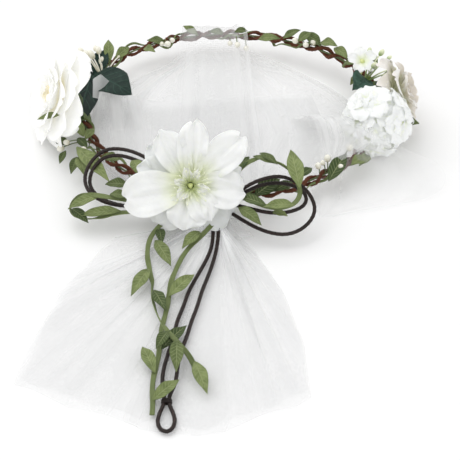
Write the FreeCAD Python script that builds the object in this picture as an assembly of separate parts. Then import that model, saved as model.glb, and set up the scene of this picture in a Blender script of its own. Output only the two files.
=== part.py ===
"""Bridal flower crown with a cord bow, leaf ribbon and a tulle veil, lying flat.

Millimetres.  The origin is the middle of the head opening, on the surface that
the crown lies on.  +Z is up, the back of the crown (bow and veil) is at -Y.
"""
import FreeCAD, Part
import math
import os

# ---- driving dimensions -------------------------------------------------
RING_HALF_WIDTH = 97.0
RING_HALF_DEPTH = 85.0
RING_HEIGHT = 11.5
RING_TILT = 2.0
VINE_STRAND_RADIUS = 1.5
VINE_LAY_RADIUS = 2.75
VINE_TURNS = 15
CORE_WIRE_RADIUS = 0.6

CORD_DIAMETER = 2.4
RIBBON_DIAMETER = 2.6
RING_RIBBON_DIAMETER = 1.4
RING_RIBBON_LAY_RADIUS = 6.3
TAPE_RADII = (4.4, 4.8)
LEAF_THICKNESS = 0.5
LEAF_RISE = 0.16
PETAL_THICKNESS = 0.8
PETAL_SPREAD = 0.66

VEIL_THICKNESS = 0.9
VEIL_FOLD_THICKNESS = 0.6

MAGNOLIA_BASE = (-24.0, -97.0, 26.0)
MAGNOLIA_FACING = (0.0, -0.77, 0.64)
MAGNOLIA_RADIUS = 37.0
PEONY_BASE = (-99.0, -17.0, 30.0)
PEONY_FACING = (-0.93, -0.22, 0.30)
PEONY_RADIUS = 31.0
HYDRANGEA_CENTRE = (89.0, -27.0, 25.0)
HYDRANGEA_FACING = (0.05, -0.50, 0.86)
HYDRANGEA_RADIUS = 21.0
FLORET_RADIUS = 5.7
FLORET_LOWEST = 18.5
FLORET_ROSE_GAP = 21.0
ROSE_BASE = (104.0, -4.0, 27.0)
ROSE_FACING = (0.93, -0.10, 0.35)
ROSE_RADIUS = 15.0
BLOSSOM_BASE = (87.0, 32.0, 27.0)
BLOSSOM_FACING = (0.1, -0.45, 0.88)
BLOSSOM_RADIUS = 8.0

KNOT_CENTRE = (-9.0, -97.0, 14.0)
KNOT_RADIUS = 8.0
TAIL_KNOT_Y = (-262.5, -256.5)

# ---- places round the ring, in degrees ----------------------------------
TAPE_PLACES = ((-106, 12), (188, 10), (160, 8), (-18, 10), (14, 8))
RING_LEAF_ANGLES = (-80, -66, -56, -46, 40, 50, 66, 78, 118, 126, 134, 212, 222, 234, 246)
BERRY_PLACES = (
    (-112, (-8, -10, 5), 2.1), (-52, (4, -2, 9), 2.0), (-46, (3, 4, 10), 2.0), (-38, (-5, 2, 9), 1.9),
    (-34, (-4, -7, 7), 1.9), (57, (3, 2, 9), 1.9), (60, (-3, 1, 8), 1.8), (72, (2, 2, 9), 1.9),
    (79, (-3, 1, 8), 1.9), (114, (2, 3, 9), 1.8), (205, (-7, -2, 4), 1.9),
)

# ---- routes of the cords and leaf ribbons -------------------------------
LEFT_BOW_OUTER = [
    (-15, -95, 16.5), (-25, -93.8, 16.5), (-35, -88, 23), (-46, -80, 30), (-57, -71, 31),
    (-68, -65, 30), (-78, -63.5, 28), (-86, -70, 24.5), (-90, -81, 21), (-88, -91, 18),
    (-80, -99, 16), (-68, -102.5, 14.5), (-54, -101, 13), (-38, -97.5, 12),
    (-25, -97.5, 11), (-15, -98, 12),
]
LEFT_BOW_INNER = [
    (-15, -93, 13.5), (-25, -90, 13), (-36, -86, 20), (-47, -79, 26), (-57, -73.5, 27),
    (-67, -68, 27), (-76.5, -66.5, 25.2), (-83.3, -71.7, 23), (-87, -80.5, 19.2),
    (-85.6, -89, 16.5), (-78.5, -96, 14.2), (-67.5, -99.6, 12.4), (-54, -98, 10.6),
    (-38, -94, 9), (-25, -93.5, 8.2), (-14.5, -94.5, 9.5),
]
RIGHT_BOW_OUTER = [
    (-3, -96, 18), (3, -100.5, 21), (10, -98.5, 27), (20, -95, 30), (31, -91.5, 29.5),
    (41, -94, 26.5), (49, -99.5, 21.5), (52.5, -108, 15.5), (47, -117, 11), (37, -123, 9),
    (26, -122.5, 9), (15, -118, 10.5), (5, -110.5, 12), (-3.5, -101.5, 11.5),
]
RIGHT_BOW_INNER = [
    (-3, -100, 15.5), (4, -108, 19.5), (13, -112, 20), (22, -113, 18), (31, -112.5, 17),
    (39.5, -110, 17), (45.5, -105.5, 17.5), (47, -99, 18.5), (43.5, -93.5, 20.5),
    (36, -91.5, 23), (27, -92.8, 25), (18, -95.5, 25.2), (9.5, -98.5, 22.5), (2.5, -98.5, 17.5),
    (-2.5, -95, 14),
]
CORD_TAIL = [
    (-11.2, -105.2, 11.2), (-10.4, -111, 8), (-10.2, -119, 5.2), (-11.2, -130, 3.7),
    (-15, -143, 3.6), (-20, -156, 3.6), (-24.5, -169, 3.6), (-27.2, -182, 3.6),
    (-30.8, -195, 3.6), (-32, -208, 3.6), (-35, -221, 3.6), (-37.5, -234, 3.6),
    (-38, -246, 3.6), (-36.4, -255, 3.4), (-36.6, -262, 3.2), (-39, -268.5, 2.7),
    (-39.8, -275, 2.4), (-37.9, -280.2, 2.4), (-34.2, -282, 2.4), (-31.2, -279.2, 2.4),
    (-30, -273.5, 2.4), (-31.2, -267.5, 2.7), (-33.7, -261.5, 3.2), (-33.6, -254.5, 3.4),
    (-30.5, -246, 3.6), (-29.5, -234, 3.6), (-28.8, -221.5, 3.6), (-25, -209, 3.6),
    (-22.4, -195, 3.6), (-19, -181.5, 3.6), (-16.5, -168, 3.6), (-13, -155, 3.6),
    (-10, -142, 3.6), (-8, -130, 3.8), (-7, -119, 5.2), (-7.2, -111, 8.2),
    (-7.8, -105.4, 11.4),
]
LEAF_TAIL_LEFT = [
    (-17, -102.4, 12), (-25, -105.8, 11), (-35, -108.5, 11), (-44, -115, 8.5),
    (-49, -124.5, 6), (-50, -136, 4), (-48, -148, 3.2), (-46, -160, 3.2),
    (-46, -172, 3.4), (-44, -184, 4.6), (-41, -196, 6.6), (-36, -207, 7.8),
    (-30, -216, 7.8), (-24, -223.5, 6), (-20, -231.5, 4), (-18.5, -239.5, 3.2),
]
LEAF_TAIL_RIGHT = [
    (-5, -105.8, 13.2), (-8, -111.5, 11.4), (-15, -119, 7.6), (-22.5, -126.5, 4.9),
    (-28, -135.5, 3.8), (-32, -147, 3), (-35.2, -160, 3.1), (-36, -173.5, 3), (-37.3, -187, 3.1),
    (-39.5, -200, 3), (-40, -212, 3.1), (-40.5, -224, 3), (-42.5, -236, 3.1),
    (-43.5, -248, 3), (-42.5, -259.5, 3.1), (-42.8, -269.5, 3),
]
LEAF_LOOP_LEFT = [
    (-14, -99, 18.5), (-26.5, -101, 14.6), (-38, -102.3, 16), (-49, -104, 18.5),
    (-59, -105.5, 20.8), (-69, -105, 22.3), (-78, -102.5, 22.5), (-87, -98.5, 20.5),
    (-94.5, -94.5, 15), (-99, -97.5, 9), (-96.5, -104.5, 8), (-89, -108.8, 9),
    (-80, -110, 11), (-70.5, -108.8, 14), (-60, -109.5, 15.5), (-49, -108.5, 15.2),
    (-37, -106.3, 15), (-24.5, -104, 14.4), (-12.5, -102, 16),
]
LEAF_LOOP_RIGHT = [
    (-5.5, -92.5, 18.5), (1, -88.5, 24.5), (7, -83, 29.5), (14, -78.5, 32), (22, -78.5, 32.2),
    (29, -82.5, 32.6), (35.5, -89, 33), (41, -97, 30.5), (43, -105.5, 26), (39, -111.5, 23),
    (31, -113.5, 21.8), (22, -112.5, 22), (13, -108.5, 23.6), (5, -103.5, 24),
    (-1, -99.5, 23), (-6, -97.5, 21),
]


# ---- geometry helpers ---------------------------------------------------
def vec(point):
    """A FreeCAD vector from a tuple."""
    return FreeCAD.Vector(*point)


def unit(point):
    """A unit vector along a tuple."""
    result = vec(point)
    result.normalize()
    return result


def rounded_wire(points):
    """Straight runs joined by tangent arcs; gives the wire, its length and least radius."""
    nodes = [vec(p) for p in points]
    start = nodes[0]
    edges = []
    radii = []
    for before, corner, after in zip(nodes, nodes[1:], nodes[2:]):
        into = (corner - before).normalize()
        out = (after - corner).normalize()
        turn = into.getAngle(out)
        trim = 0.45 * min((corner - before).Length, (after - corner).Length)
        radius = trim / math.tan(turn / 2)
        inward = (out - into).normalize()
        first = corner - into * trim
        last = corner + out * trim
        middle = corner + inward * (math.hypot(radius, trim) - radius)
        edges.append(Part.LineSegment(start, first).toShape())
        edges.append(Part.Arc(first, middle, last).toShape())
        radii.append(radius)
        start = last
    edges.append(Part.LineSegment(start, nodes[-1]).toShape())
    wire = Part.Wire(edges)
    return wire, wire.Length, min(radii)


def tube(points, diameter):
    """A plain round tube along a route of points."""
    wire, length, least = rounded_wire(points)
    direction = vec(points[1]) - vec(points[0])
    circle = Part.Wire([Part.makeCircle(diameter / 2, vec(points[0]), direction)])
    return wire.makePipeShell([circle], True, False), length, least


def cord(name, points, diameter):
    """A free cord or ribbon core, with its length, least radius and volume printed."""
    solid, length, least = tube(points, diameter)
    expected = math.pi * diameter * diameter / 4 * length
    print(f"{name}: length {length:.0f} mm, least radius {least:.1f} mm, "
          f"volume {solid.Volume:.0f} of {expected:.0f} mm3")
    return solid


def rod(start, end, radius):
    """A straight round rod between two points."""
    axis = vec(end) - vec(start)
    return Part.makeCylinder(radius, axis.Length, vec(start), axis)


def placed(shape, base, facing, roll=0.0):
    """Turn a shape's +Z to the facing direction and move its origin to the base."""
    moved = shape.copy()
    turn = FreeCAD.Rotation(FreeCAD.Vector(0, 0, 1), unit(facing))
    spin = FreeCAD.Rotation(FreeCAD.Vector(0, 0, 1), roll)
    seat = FreeCAD.Placement(vec(base), turn.multiply(spin))
    moved.Placement = seat.multiply(moved.Placement)
    return moved


def leaf_outline(length, width, stalk=0.0):
    """A pointed oval face along +X from the origin, with an optional thin stalk before it."""
    half = width / 2
    base = FreeCAD.Vector(stalk, 0, 0)
    tip = FreeCAD.Vector(stalk + length, 0, 0)
    upper = Part.Arc(base, FreeCAD.Vector(stalk + length * 0.45, half, 0), tip).toShape()
    lower = Part.Arc(tip, FreeCAD.Vector(stalk + length * 0.45, -half, 0), base).toShape()
    return Part.Face(Part.Wire([upper, lower]))


def leaf(base, direction, length, width, tilt_normal=(0, 0, 1)):
    """A thin flat leaf from its base point along a direction."""
    along = unit(direction)
    normal = vec(tilt_normal)
    side = normal.cross(along).normalize()
    normal = along.cross(side).normalize()
    solid = leaf_outline(length, width).extrude(FreeCAD.Vector(0, 0, LEAF_THICKNESS))
    solid.translate(FreeCAD.Vector(0, 0, -LEAF_THICKNESS / 2))
    rotation = FreeCAD.Rotation(along, side, normal, "ZXY")
    solid.Placement = FreeCAD.Placement(vec(base), rotation)
    return solid


def petal_ring(count, inner, outer, cup, phase=0.0, lift=0.0):
    """Separate cupped petals round +Z, cut from one spherical bowl of radius cup."""
    bowl = Part.makeSphere(cup, FreeCAD.Vector(0, 0, cup))
    bowl = bowl.cut(Part.makeSphere(cup - PETAL_THICKNESS, FreeCAD.Vector(0, 0, cup)))
    reach = outer - inner
    half = PETAL_SPREAD * math.pi * (inner + 0.55 * reach) / count
    foot = half * 0.25
    shoulder = FreeCAD.Vector(outer - 0.16 * reach, half * 0.6, 0)
    across = FreeCAD.Vector(shoulder.x, -shoulder.y, 0)
    belly = inner + 0.55 * reach
    sides = [
        Part.Arc(FreeCAD.Vector(inner, foot, 0), FreeCAD.Vector(belly, half, 0), shoulder),
        Part.Arc(shoulder, FreeCAD.Vector(outer, 0, 0), across),
        Part.Arc(across, FreeCAD.Vector(belly, -half, 0), FreeCAD.Vector(inner, -foot, 0)),
        Part.LineSegment(FreeCAD.Vector(inner, -foot, 0), FreeCAD.Vector(inner, foot, 0)),
    ]
    outline = Part.Face(Part.Wire([side.toShape() for side in sides]))
    petal = bowl.common(outline.extrude(FreeCAD.Vector(0, 0, cup)))
    petals = []
    for index in range(count):
        copy = petal.copy()
        copy.translate(FreeCAD.Vector(0, 0, lift))
        copy.rotate(FreeCAD.Vector(0, 0, 0), FreeCAD.Vector(0, 0, 1), phase + 360 * index / count)
        petals.append(copy)
    return petals


def flower_layer(base, facing, *args, **options):
    """One layer of petals, placed."""
    return group([placed(petal, base, facing) for petal in petal_ring(*args, **options)])


def group(solids):
    """Separate solids of one node."""
    return Part.makeCompound(solids)


def fused(solids):
    """Touching pieces of one moulding."""
    return solids[0].multiFuse(solids[1:]).removeSplitter()


# ---- the vine ring ------------------------------------------------------
def ring_point(angle_deg):
    """Centreline of the ring: an oval, a little higher at the front of the head."""
    angle = math.radians(angle_deg)
    swell = 1 + 0.02 * math.sin(3 * angle + 0.6)
    return FreeCAD.Vector(
        RING_HALF_WIDTH * swell * math.cos(angle),
        RING_HALF_DEPTH * swell * math.sin(angle),
        RING_HEIGHT + RING_TILT * math.sin(angle),
    )


def around_ring(angle_deg, lay_radius, lay_angle_deg):
    """A point beside the centreline, lay_angle round it from outward."""
    angle = math.radians(angle_deg)
    outward = FreeCAD.Vector(math.cos(angle), math.sin(angle), 0)
    lay = math.radians(lay_angle_deg)
    point = ring_point(angle_deg)
    return point + outward * (lay_radius * math.cos(lay)) + FreeCAD.Vector(
        0, 0, lay_radius * math.sin(lay))


def ring_helix(start_deg, sweep_deg, turns, lay_radius, lay_start_deg, steps):
    """Route of a strand wound round the ring."""
    route = []
    for index in range(steps + 1):
        share = index / steps
        point = around_ring(start_deg + sweep_deg * share, lay_radius,
                            lay_start_deg + 360 * turns * share)
        route.append(tuple(point))
    return route


def core_wire():
    """The bent iron wire in the middle of the vine."""
    return tube(ring_helix(-98, 352, 0, 0.0, 0, 60), 2 * CORE_WIRE_RADIUS)[0]


def vine_strand(lay_start_deg):
    """One paper-wrapped rattan strand of the twisted pair."""
    route = ring_helix(-98, 352, VINE_TURNS, VINE_LAY_RADIUS, lay_start_deg, VINE_TURNS * 6)
    return tube(route, 2 * VINE_STRAND_RADIUS)[0]


def tape_sleeve(angle_deg, length):
    """A wrap of floral tape round the vine where a flower's stem is bound on."""
    middle = ring_point(angle_deg)
    along = (ring_point(angle_deg + 2) - ring_point(angle_deg - 2)).normalize()
    base = middle - along * (length / 2)
    inner_radius, outer_radius = TAPE_RADII
    outer = Part.makeCylinder(outer_radius, length, base, along)
    return outer.cut(Part.makeCylinder(inner_radius, length, base, along))


def floral_tape_wraps():
    """Five wraps: join and magnolia, peony, back sprig, hydrangea with rose, and blossom."""
    return group([tape_sleeve(angle, length) for angle, length in TAPE_PLACES])


# ---- flowers ------------------------------------------------------------
def magnolia_outer_petals():
    return flower_layer(MAGNOLIA_BASE, MAGNOLIA_FACING, 6, 7, MAGNOLIA_RADIUS, 60, phase=35)


def magnolia_inner_petals():
    return flower_layer(MAGNOLIA_BASE, MAGNOLIA_FACING, 4, 5, 22, 30, phase=0, lift=1.2)


def magnolia_centre():
    """Green domed receptacle."""
    cone = Part.makeCone(3.5, 1.5, 8)
    return placed(cone, MAGNOLIA_BASE, MAGNOLIA_FACING)


def magnolia_stamens():
    """Fine filaments fanned round the receptacle, each with a small anther."""
    stamens = []
    count = 12
    for index in range(count):
        angle = 2 * math.pi * index / count
        start = (3.9 * math.cos(angle), 3.9 * math.sin(angle), 4.0)
        end = (6.4 * math.cos(angle), 6.4 * math.sin(angle), 15.0)
        anther = Part.makeSphere(0.6, vec(end))
        stamens.append(placed(rod(start, end, 0.25).fuse(anther), MAGNOLIA_BASE, MAGNOLIA_FACING))
    return group(stamens)


def magnolia_backing():
    """Felt disc and wired stem behind the petals, down to the vine."""
    disc = Part.makeCylinder(9, 2.6, FreeCAD.Vector(0, 0, -2.8))
    back = placed(disc, MAGNOLIA_BASE, MAGNOLIA_FACING)
    stem = rod((-24, -95.5, 24), (-24, -85, 12), 1.2)
    return fused([back, stem])


def peony_outer_petals():
    return flower_layer(PEONY_BASE, PEONY_FACING, 7, 5, PEONY_RADIUS, 42, phase=10)


def peony_middle_petals():
    return flower_layer(PEONY_BASE, PEONY_FACING, 6, 4, 23, 25, phase=35, lift=1.2)


def peony_inner_petals():
    return flower_layer(PEONY_BASE, PEONY_FACING, 5, 3, 13, 14, phase=0, lift=2.4)


def peony_centre():
    """Yellow tuft in the heart of the peony."""
    return placed(Part.makeCone(2.2, 3.0, 9), PEONY_BASE, PEONY_FACING)


def peony_calyx():
    """Green cup and stem behind the peony."""
    cup = placed(Part.makeCone(4.0, 8.0, 4, FreeCAD.Vector(0, 0, -4.2)), PEONY_BASE, PEONY_FACING)
    stem = rod((-96.5, -16.5, 28), (-95, -14.5, 14.5), 1.2)
    return fused([cup, stem])


def dome_directions(count, spread_deg):
    """Evenly spread directions on a cap round +Z."""
    golden = math.pi * (3 - math.sqrt(5))
    lowest = math.cos(math.radians(spread_deg))
    result = []
    for index in range(count):
        height = 1 - (1 - lowest) * (index + 0.5) / count
        radial = math.sqrt(1 - height * height)
        result.append(FreeCAD.Vector(radial * math.cos(golden * index),
                                     radial * math.sin(golden * index), height))
    return result


def hydrangea_directions():
    """Directions of the florets from the middle of the head, clear of the rose and the vine."""
    turn = FreeCAD.Rotation(FreeCAD.Vector(0, 0, 1), unit(HYDRANGEA_FACING))
    kept = []
    for direction in dome_directions(22, 96):
        turned = turn.multVec(direction)
        seat = vec(HYDRANGEA_CENTRE) + turned * HYDRANGEA_RADIUS
        if (seat - vec(ROSE_BASE)).Length > FLORET_ROSE_GAP and seat.z > FLORET_LOWEST:
            kept.append(turned)
    return kept


def floret_plate(radius):
    """Four round petals joined in a flat cross."""
    lobes = [Part.makeCylinder(radius * 0.42, PETAL_THICKNESS,
                               FreeCAD.Vector(radius * 0.56 * math.cos(a), radius * 0.56 * math.sin(a), 0))
             for a in (k * math.pi / 2 for k in range(4))]
    lobes.append(Part.makeCylinder(radius * 0.45, PETAL_THICKNESS))
    return fused(lobes)


def hydrangea_florets():
    """Four-petalled florets over the head."""
    plate = floret_plate(FLORET_RADIUS)
    florets = []
    for index, direction in enumerate(hydrangea_directions()):
        base = vec(HYDRANGEA_CENTRE) + direction * HYDRANGEA_RADIUS
        florets.append(placed(plate, tuple(base), tuple(direction), 37 * index))
    return group(florets)


def hydrangea_centres():
    """A bead in the middle of each floret."""
    beads = []
    for direction in hydrangea_directions():
        seat = vec(HYDRANGEA_CENTRE) + direction * (HYDRANGEA_RADIUS + PETAL_THICKNESS + 0.9)
        beads.append(Part.makeSphere(1.0, seat))
    return group(beads)


def hydrangea_stems():
    """Thin stems from a hub out to the florets, and the main stem to the vine."""
    hub = Part.makeSphere(4.0, vec(HYDRANGEA_CENTRE))
    parts = [hub]
    for direction in hydrangea_directions():
        end = vec(HYDRANGEA_CENTRE) + direction * (HYDRANGEA_RADIUS - 0.1)
        parts.append(rod(HYDRANGEA_CENTRE, tuple(end), 0.5))
    parts.append(rod(HYDRANGEA_CENTRE, (91, -25, 13.4), 1.0))
    return fused(parts)


def rose_outer_petals():
    return flower_layer(ROSE_BASE, ROSE_FACING, 5, 3, ROSE_RADIUS, 18, phase=15)


def rose_inner_petals():
    return flower_layer(ROSE_BASE, ROSE_FACING, 4, 2, 8.5, 9, phase=50, lift=1.2)


def rose_bud():
    """Furled heart and calyx of the rose."""
    heart = Part.makeCone(1.9, 1.2, 9)
    return placed(heart, ROSE_BASE, ROSE_FACING)


def rose_sepals():
    """Green sepals under the rose and its stem."""
    sepals = []
    for index in range(5):
        outline = leaf_outline(12, 4.5, 2.0)
        sepal = outline.extrude(FreeCAD.Vector(0, 0, LEAF_THICKNESS))
        sepal.translate(FreeCAD.Vector(0, 0, -1.0))
        sepal.rotate(FreeCAD.Vector(0, 0, 0), FreeCAD.Vector(0, 0, 1), 72 * index + 20)
        sepals.append(placed(sepal, ROSE_BASE, ROSE_FACING))
    cup = placed(Part.makeCylinder(3, 3, FreeCAD.Vector(0, 0, -3.2)), ROSE_BASE, ROSE_FACING)
    stem = rod((102.5, -4, 25.5), (97.5, -8, 15.5), 0.9)
    return fused(sepals + [cup, stem])


def blossom_petals():
    return flower_layer(BLOSSOM_BASE, BLOSSOM_FACING, 5, 1.6, BLOSSOM_RADIUS, 14)


def blossom_centre():
    """Green eye of the small blossom on its stem."""
    eye = placed(Part.makeSphere(1.3, FreeCAD.Vector(0, 0, 0.6)), BLOSSOM_BASE, BLOSSOM_FACING)
    stem = rod(BLOSSOM_BASE, (86, 35, 13.5), 0.6)
    return fused([eye, stem])


# ---- sprigs, berries and single leaves ----------------------------------
def bud_sprig_right():
    """Closed buds on short stems between the blossom and the rose."""
    parts = []
    for tip, size in (((99, 33, 33), 2.2), ((106, 28, 30), 1.8), ((109, 20, 27), 1.6)):
        foot = (89, 26, 14)
        parts.append(rod(foot, tip, 0.45))
        parts.append(Part.makeSphere(size, vec(tip)))
    return fused(parts)


def bud_sprig_left():
    """White bud cluster and green buds behind the peony."""
    parts = []
    foot = (-84, 28, 15)
    for tip, size in (((-91, 36, 31), 3.6), ((-86, 43, 30), 2.6), ((-80, 50, 25), 2.0),
                      ((-73, 52, 24), 1.8)):
        parts.append(rod(foot, tip, 0.45))
        parts.append(Part.makeSphere(size, vec(tip)))
    return fused(parts)


def dark_leaves():
    """Three dark teal leaves behind the peony."""
    return group([
        leaf((-84, 2, 16.2), (0.35, 0.90, 0.15), 36, 24, (0.1, -0.35, 0.94)),
        leaf((-85, -4, 18.8), (0.99, -0.10, 0.05), 22, 14, (0.1, -0.35, 0.94)),
        leaf((-92, 14, 19), (-0.5, 0.86, 0.35), 24, 12, (0.1, -0.5, 0.87)),
    ])


def teal_leaf():
    """Serrated teal leaf between the blossom and the hydrangea."""
    return leaf((89.5, 24, 18), (-0.42, -0.86, 0.30), 27, 15, (0.25, -0.40, 0.88))


def green_leaves_right():
    """Mid-green leaves beside the buds and under the rose."""
    return group([
        leaf((99, 18, 16.5), (0.6, 0.65, 0.3), 14, 6, (0.2, -0.4, 0.9)),
        leaf((104.5, -12, 10.5), (0.9, -0.25, 0.05), 18, 11, (0.1, -0.5, 0.86)),
        leaf((90, -46, 5.5), (-0.1, -0.9, 0.2), 13, 6, (0, -0.3, 0.95)),
    ])


def berries():
    """Small round berries set along the vine."""
    result = []
    for angle, offset, radius in BERRY_PLACES:
        result.append(Part.makeSphere(radius, ring_point(angle) + vec(offset)))
    return group(result)


def berry_stems():
    """Bent-wire stems of the berries."""
    result = []
    for angle, offset, radius in BERRY_PLACES:
        foot = ring_point(angle)
        reach = vec(offset)
        result.append(rod(tuple(foot + reach * 0.4), tuple(foot + reach * 0.92), 0.35))
    return group(result)


def ring_leaf_ribbon():
    """Green ribbon wound loosely round the vine."""
    return tube(ring_helix(-96, 346, 9, RING_RIBBON_LAY_RADIUS, 200, 63), RING_RIBBON_DIAMETER)[0]


def ring_leaves():
    """Leaves of the wound ribbon, standing off the vine in turn to each side."""
    result = []
    for index, angle in enumerate(RING_LEAF_ANGLES):
        side = 1 if index % 2 else -1
        turn = math.radians(angle)
        outward = FreeCAD.Vector(math.cos(turn), math.sin(turn), 0)
        along = FreeCAD.Vector(-math.sin(turn), math.cos(turn), 0)
        foot = ring_point(angle) + outward * (7.2 * side) + FreeCAD.Vector(0, 0, 3.0)
        direction = along * 0.75 + outward * (0.6 * side) + FreeCAD.Vector(0, 0, 0.35)
        result.append(leaf(tuple(foot), tuple(direction), 15, 6.5))
    return group(result)


# ---- bow, tails and their leaves ----------------------------------------
def bow_knot():
    """The knot that ties bow loops, leaf ribbon and tails to the vine."""
    return Part.makeSphere(KNOT_RADIUS, vec(KNOT_CENTRE))


def tail_knot():
    """Whipping that holds the two tail strands together above the end loop."""
    low, high = TAIL_KNOT_Y
    sleeve = Part.makeBox(6.4, high - low, 3.6, FreeCAD.Vector(-38.2, low, 1.5))
    return sleeve.makeFillet(1.2, [e for e in sleeve.Edges if abs(e.tangentAt(0).y) > 0.9])


def leaves_along(route, picks):
    """Leaves on a ribbon: each pick is (point number, turn off the ribbon, length, width)."""
    result = []
    for number, turn_deg, length, width in picks:
        here = vec(route[number])
        ahead = (vec(route[min(number + 1, len(route) - 1)]) - vec(route[number - 1])).normalize()
        flat = FreeCAD.Vector(ahead.x, ahead.y, 0).normalize()
        turn = FreeCAD.Rotation(FreeCAD.Vector(0, 0, 1), turn_deg)
        direction = turn.multVec(flat) + FreeCAD.Vector(0, 0, LEAF_RISE)
        foot = here + direction * (RIBBON_DIAMETER / 2 - 0.1)
        result.append(leaf(tuple(foot), tuple(direction), length, width))
    return group(result)


def leaf_tail_left_leaves():
    return leaves_along(LEAF_TAIL_LEFT, (
        (3, 12, 15, 6), (5, 38, 26, 8), (6, -42, 25, 8), (8, 32, 18, 7), (12, -38, 22, 7),
        (15, 10, 22, 8)))


def leaf_tail_right_leaves():
    return leaves_along(LEAF_TAIL_RIGHT, (
        (3, -40, 18, 8), (6, 140, 20, 8), (11, -160, 20, 7), (14, -40, 9, 5)))


def leaf_loop_left_leaves():
    return leaves_along(LEAF_LOOP_LEFT, (
        (7, 28, 17, 7), (8, -20, 17, 7), (9, 35, 16, 6), (11, -25, 17, 7)))


def leaf_loop_right_leaves():
    return leaves_along(LEAF_LOOP_RIGHT, (
        (4, 40, 16, 6), (5, 50, 20, 9), (8, -50, 17, 7), (10, 45, 16, 6)))


# ---- the tulle veil -----------------------------------------------------
def plate(outline, thickness, z=0.0):
    """A flat plate from the corners of its outline."""
    corners = [FreeCAD.Vector(x, y, z) for x, y in outline]
    face = Part.Face(Part.makePolygon(corners + corners[:1]))
    return face.extrude(FreeCAD.Vector(0, 0, thickness))


def veil_skirt():
    """The gathered skirt of the veil, spread flat behind the crown."""
    return plate((
        (-6, -112), (-40, -112), (-72, -116), (-100, -160), (-118, -215), (-124, -247),
        (-103, -259), (-66, -275), (-34, -287), (-18, -289), (5, -280), (33, -266),
        (47, -258), (44, -212), (32, -166), (16, -130), (4, -112)), VEIL_THICKNESS)


def veil_inner_panel():
    """The part of the veil that lies inside the ring."""
    return plate((
        (-84, 24), (-60, 38), (-40, 62), (24, 70), (52, 52), (66, 20), (74, -14), (64, -44),
        (40, -62), (0, -74), (-36, -78), (-66, -62), (-80, -30)), VEIL_THICKNESS)


def veil_side_panel():
    """The loose end of the veil that lies out to the right."""
    return plate((
        (58, -92), (80, -84), (108, -80), (136, -76), (139, -56), (129, -41), (112, -33),
        (100, -58), (76, -66), (56, -76)), VEIL_THICKNESS)


def veil_bridge():
    """The folds of tulle that pass over the front of the ring."""
    width, radius, low = 44.0, 11.5, 1.2
    left, middle, spring = -34.0, 83.5, 11.0
    inner_radius = radius - VEIL_FOLD_THICKNESS
    end = FreeCAD.Vector(left, middle, spring)
    along = FreeCAD.Vector(1, 0, 0)
    arch = Part.makeCylinder(radius, width, end, along)
    arch = arch.cut(Part.makeCylinder(inner_radius, width, end, along))
    upper = Part.makeBox(width, 3 * radius, radius, end - FreeCAD.Vector(0, 1.5 * radius, 0))
    wall = Part.makeBox(width, VEIL_FOLD_THICKNESS, spring - low, FreeCAD.Vector(left, 0, low))
    inside = wall.translated(FreeCAD.Vector(0, middle - radius, 0))
    outside = wall.translated(FreeCAD.Vector(0, middle + inner_radius, 0))
    return fused([arch.common(upper), inside, outside])


def veil_gather():
    """The tight gather of the tulle under the bow knot."""
    return Part.makeCone(9, 4, 3.6, FreeCAD.Vector(-9, -100, 1.4))


NODES = {
    "core_wire": core_wire,
    "vine_strand_a": lambda: vine_strand(0),
    "vine_strand_b": lambda: vine_strand(180),
    "floral_tape_wraps": floral_tape_wraps,
    "magnolia_outer_petals": magnolia_outer_petals,
    "magnolia_inner_petals": magnolia_inner_petals,
    "magnolia_centre": magnolia_centre,
    "magnolia_stamens": magnolia_stamens,
    "magnolia_backing": magnolia_backing,
    "peony_outer_petals": peony_outer_petals,
    "peony_middle_petals": peony_middle_petals,
    "peony_inner_petals": peony_inner_petals,
    "peony_centre": peony_centre,
    "peony_calyx": peony_calyx,
    "hydrangea_florets": hydrangea_florets,
    "hydrangea_centres": hydrangea_centres,
    "hydrangea_stems": hydrangea_stems,
    "rose_outer_petals": rose_outer_petals,
    "rose_inner_petals": rose_inner_petals,
    "rose_bud": rose_bud,
    "rose_sepals": rose_sepals,
    "blossom_petals": blossom_petals,
    "blossom_centre": blossom_centre,
    "bud_sprig_right": bud_sprig_right,
    "bud_sprig_left": bud_sprig_left,
    "dark_leaves": dark_leaves,
    "teal_leaf": teal_leaf,
    "green_leaves_right": green_leaves_right,
    "berries": berries,
    "berry_stems": berry_stems,
    "ring_leaf_ribbon": ring_leaf_ribbon,
    "ring_leaves": ring_leaves,
    "bow_knot": bow_knot,
    "bow_left_outer": lambda: cord("bow_left_outer", LEFT_BOW_OUTER, CORD_DIAMETER),
    "bow_left_inner": lambda: cord("bow_left_inner", LEFT_BOW_INNER, CORD_DIAMETER),
    "bow_right_outer": lambda: cord("bow_right_outer", RIGHT_BOW_OUTER, CORD_DIAMETER),
    "bow_right_inner": lambda: cord("bow_right_inner", RIGHT_BOW_INNER, CORD_DIAMETER),
    "cord_tail": lambda: cord("cord_tail", CORD_TAIL, CORD_DIAMETER),
    "tail_knot": tail_knot,
    "leaf_loop_left": lambda: cord("leaf_loop_left", LEAF_LOOP_LEFT, RIBBON_DIAMETER),
    "leaf_loop_right": lambda: cord("leaf_loop_right", LEAF_LOOP_RIGHT, RIBBON_DIAMETER),
    "leaf_tail_left": lambda: cord("leaf_tail_left", LEAF_TAIL_LEFT, RIBBON_DIAMETER),
    "leaf_tail_right": lambda: cord("leaf_tail_right", LEAF_TAIL_RIGHT, RIBBON_DIAMETER),
    "leaf_loop_left_leaves": leaf_loop_left_leaves,
    "leaf_loop_right_leaves": leaf_loop_right_leaves,
    "leaf_tail_left_leaves": leaf_tail_left_leaves,
    "leaf_tail_right_leaves": leaf_tail_right_leaves,
    "veil_skirt": veil_skirt,
    "veil_inner_panel": veil_inner_panel,
    "veil_side_panel": veil_side_panel,
    "veil_bridge": veil_bridge,
    "veil_gather": veil_gather,
}


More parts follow.
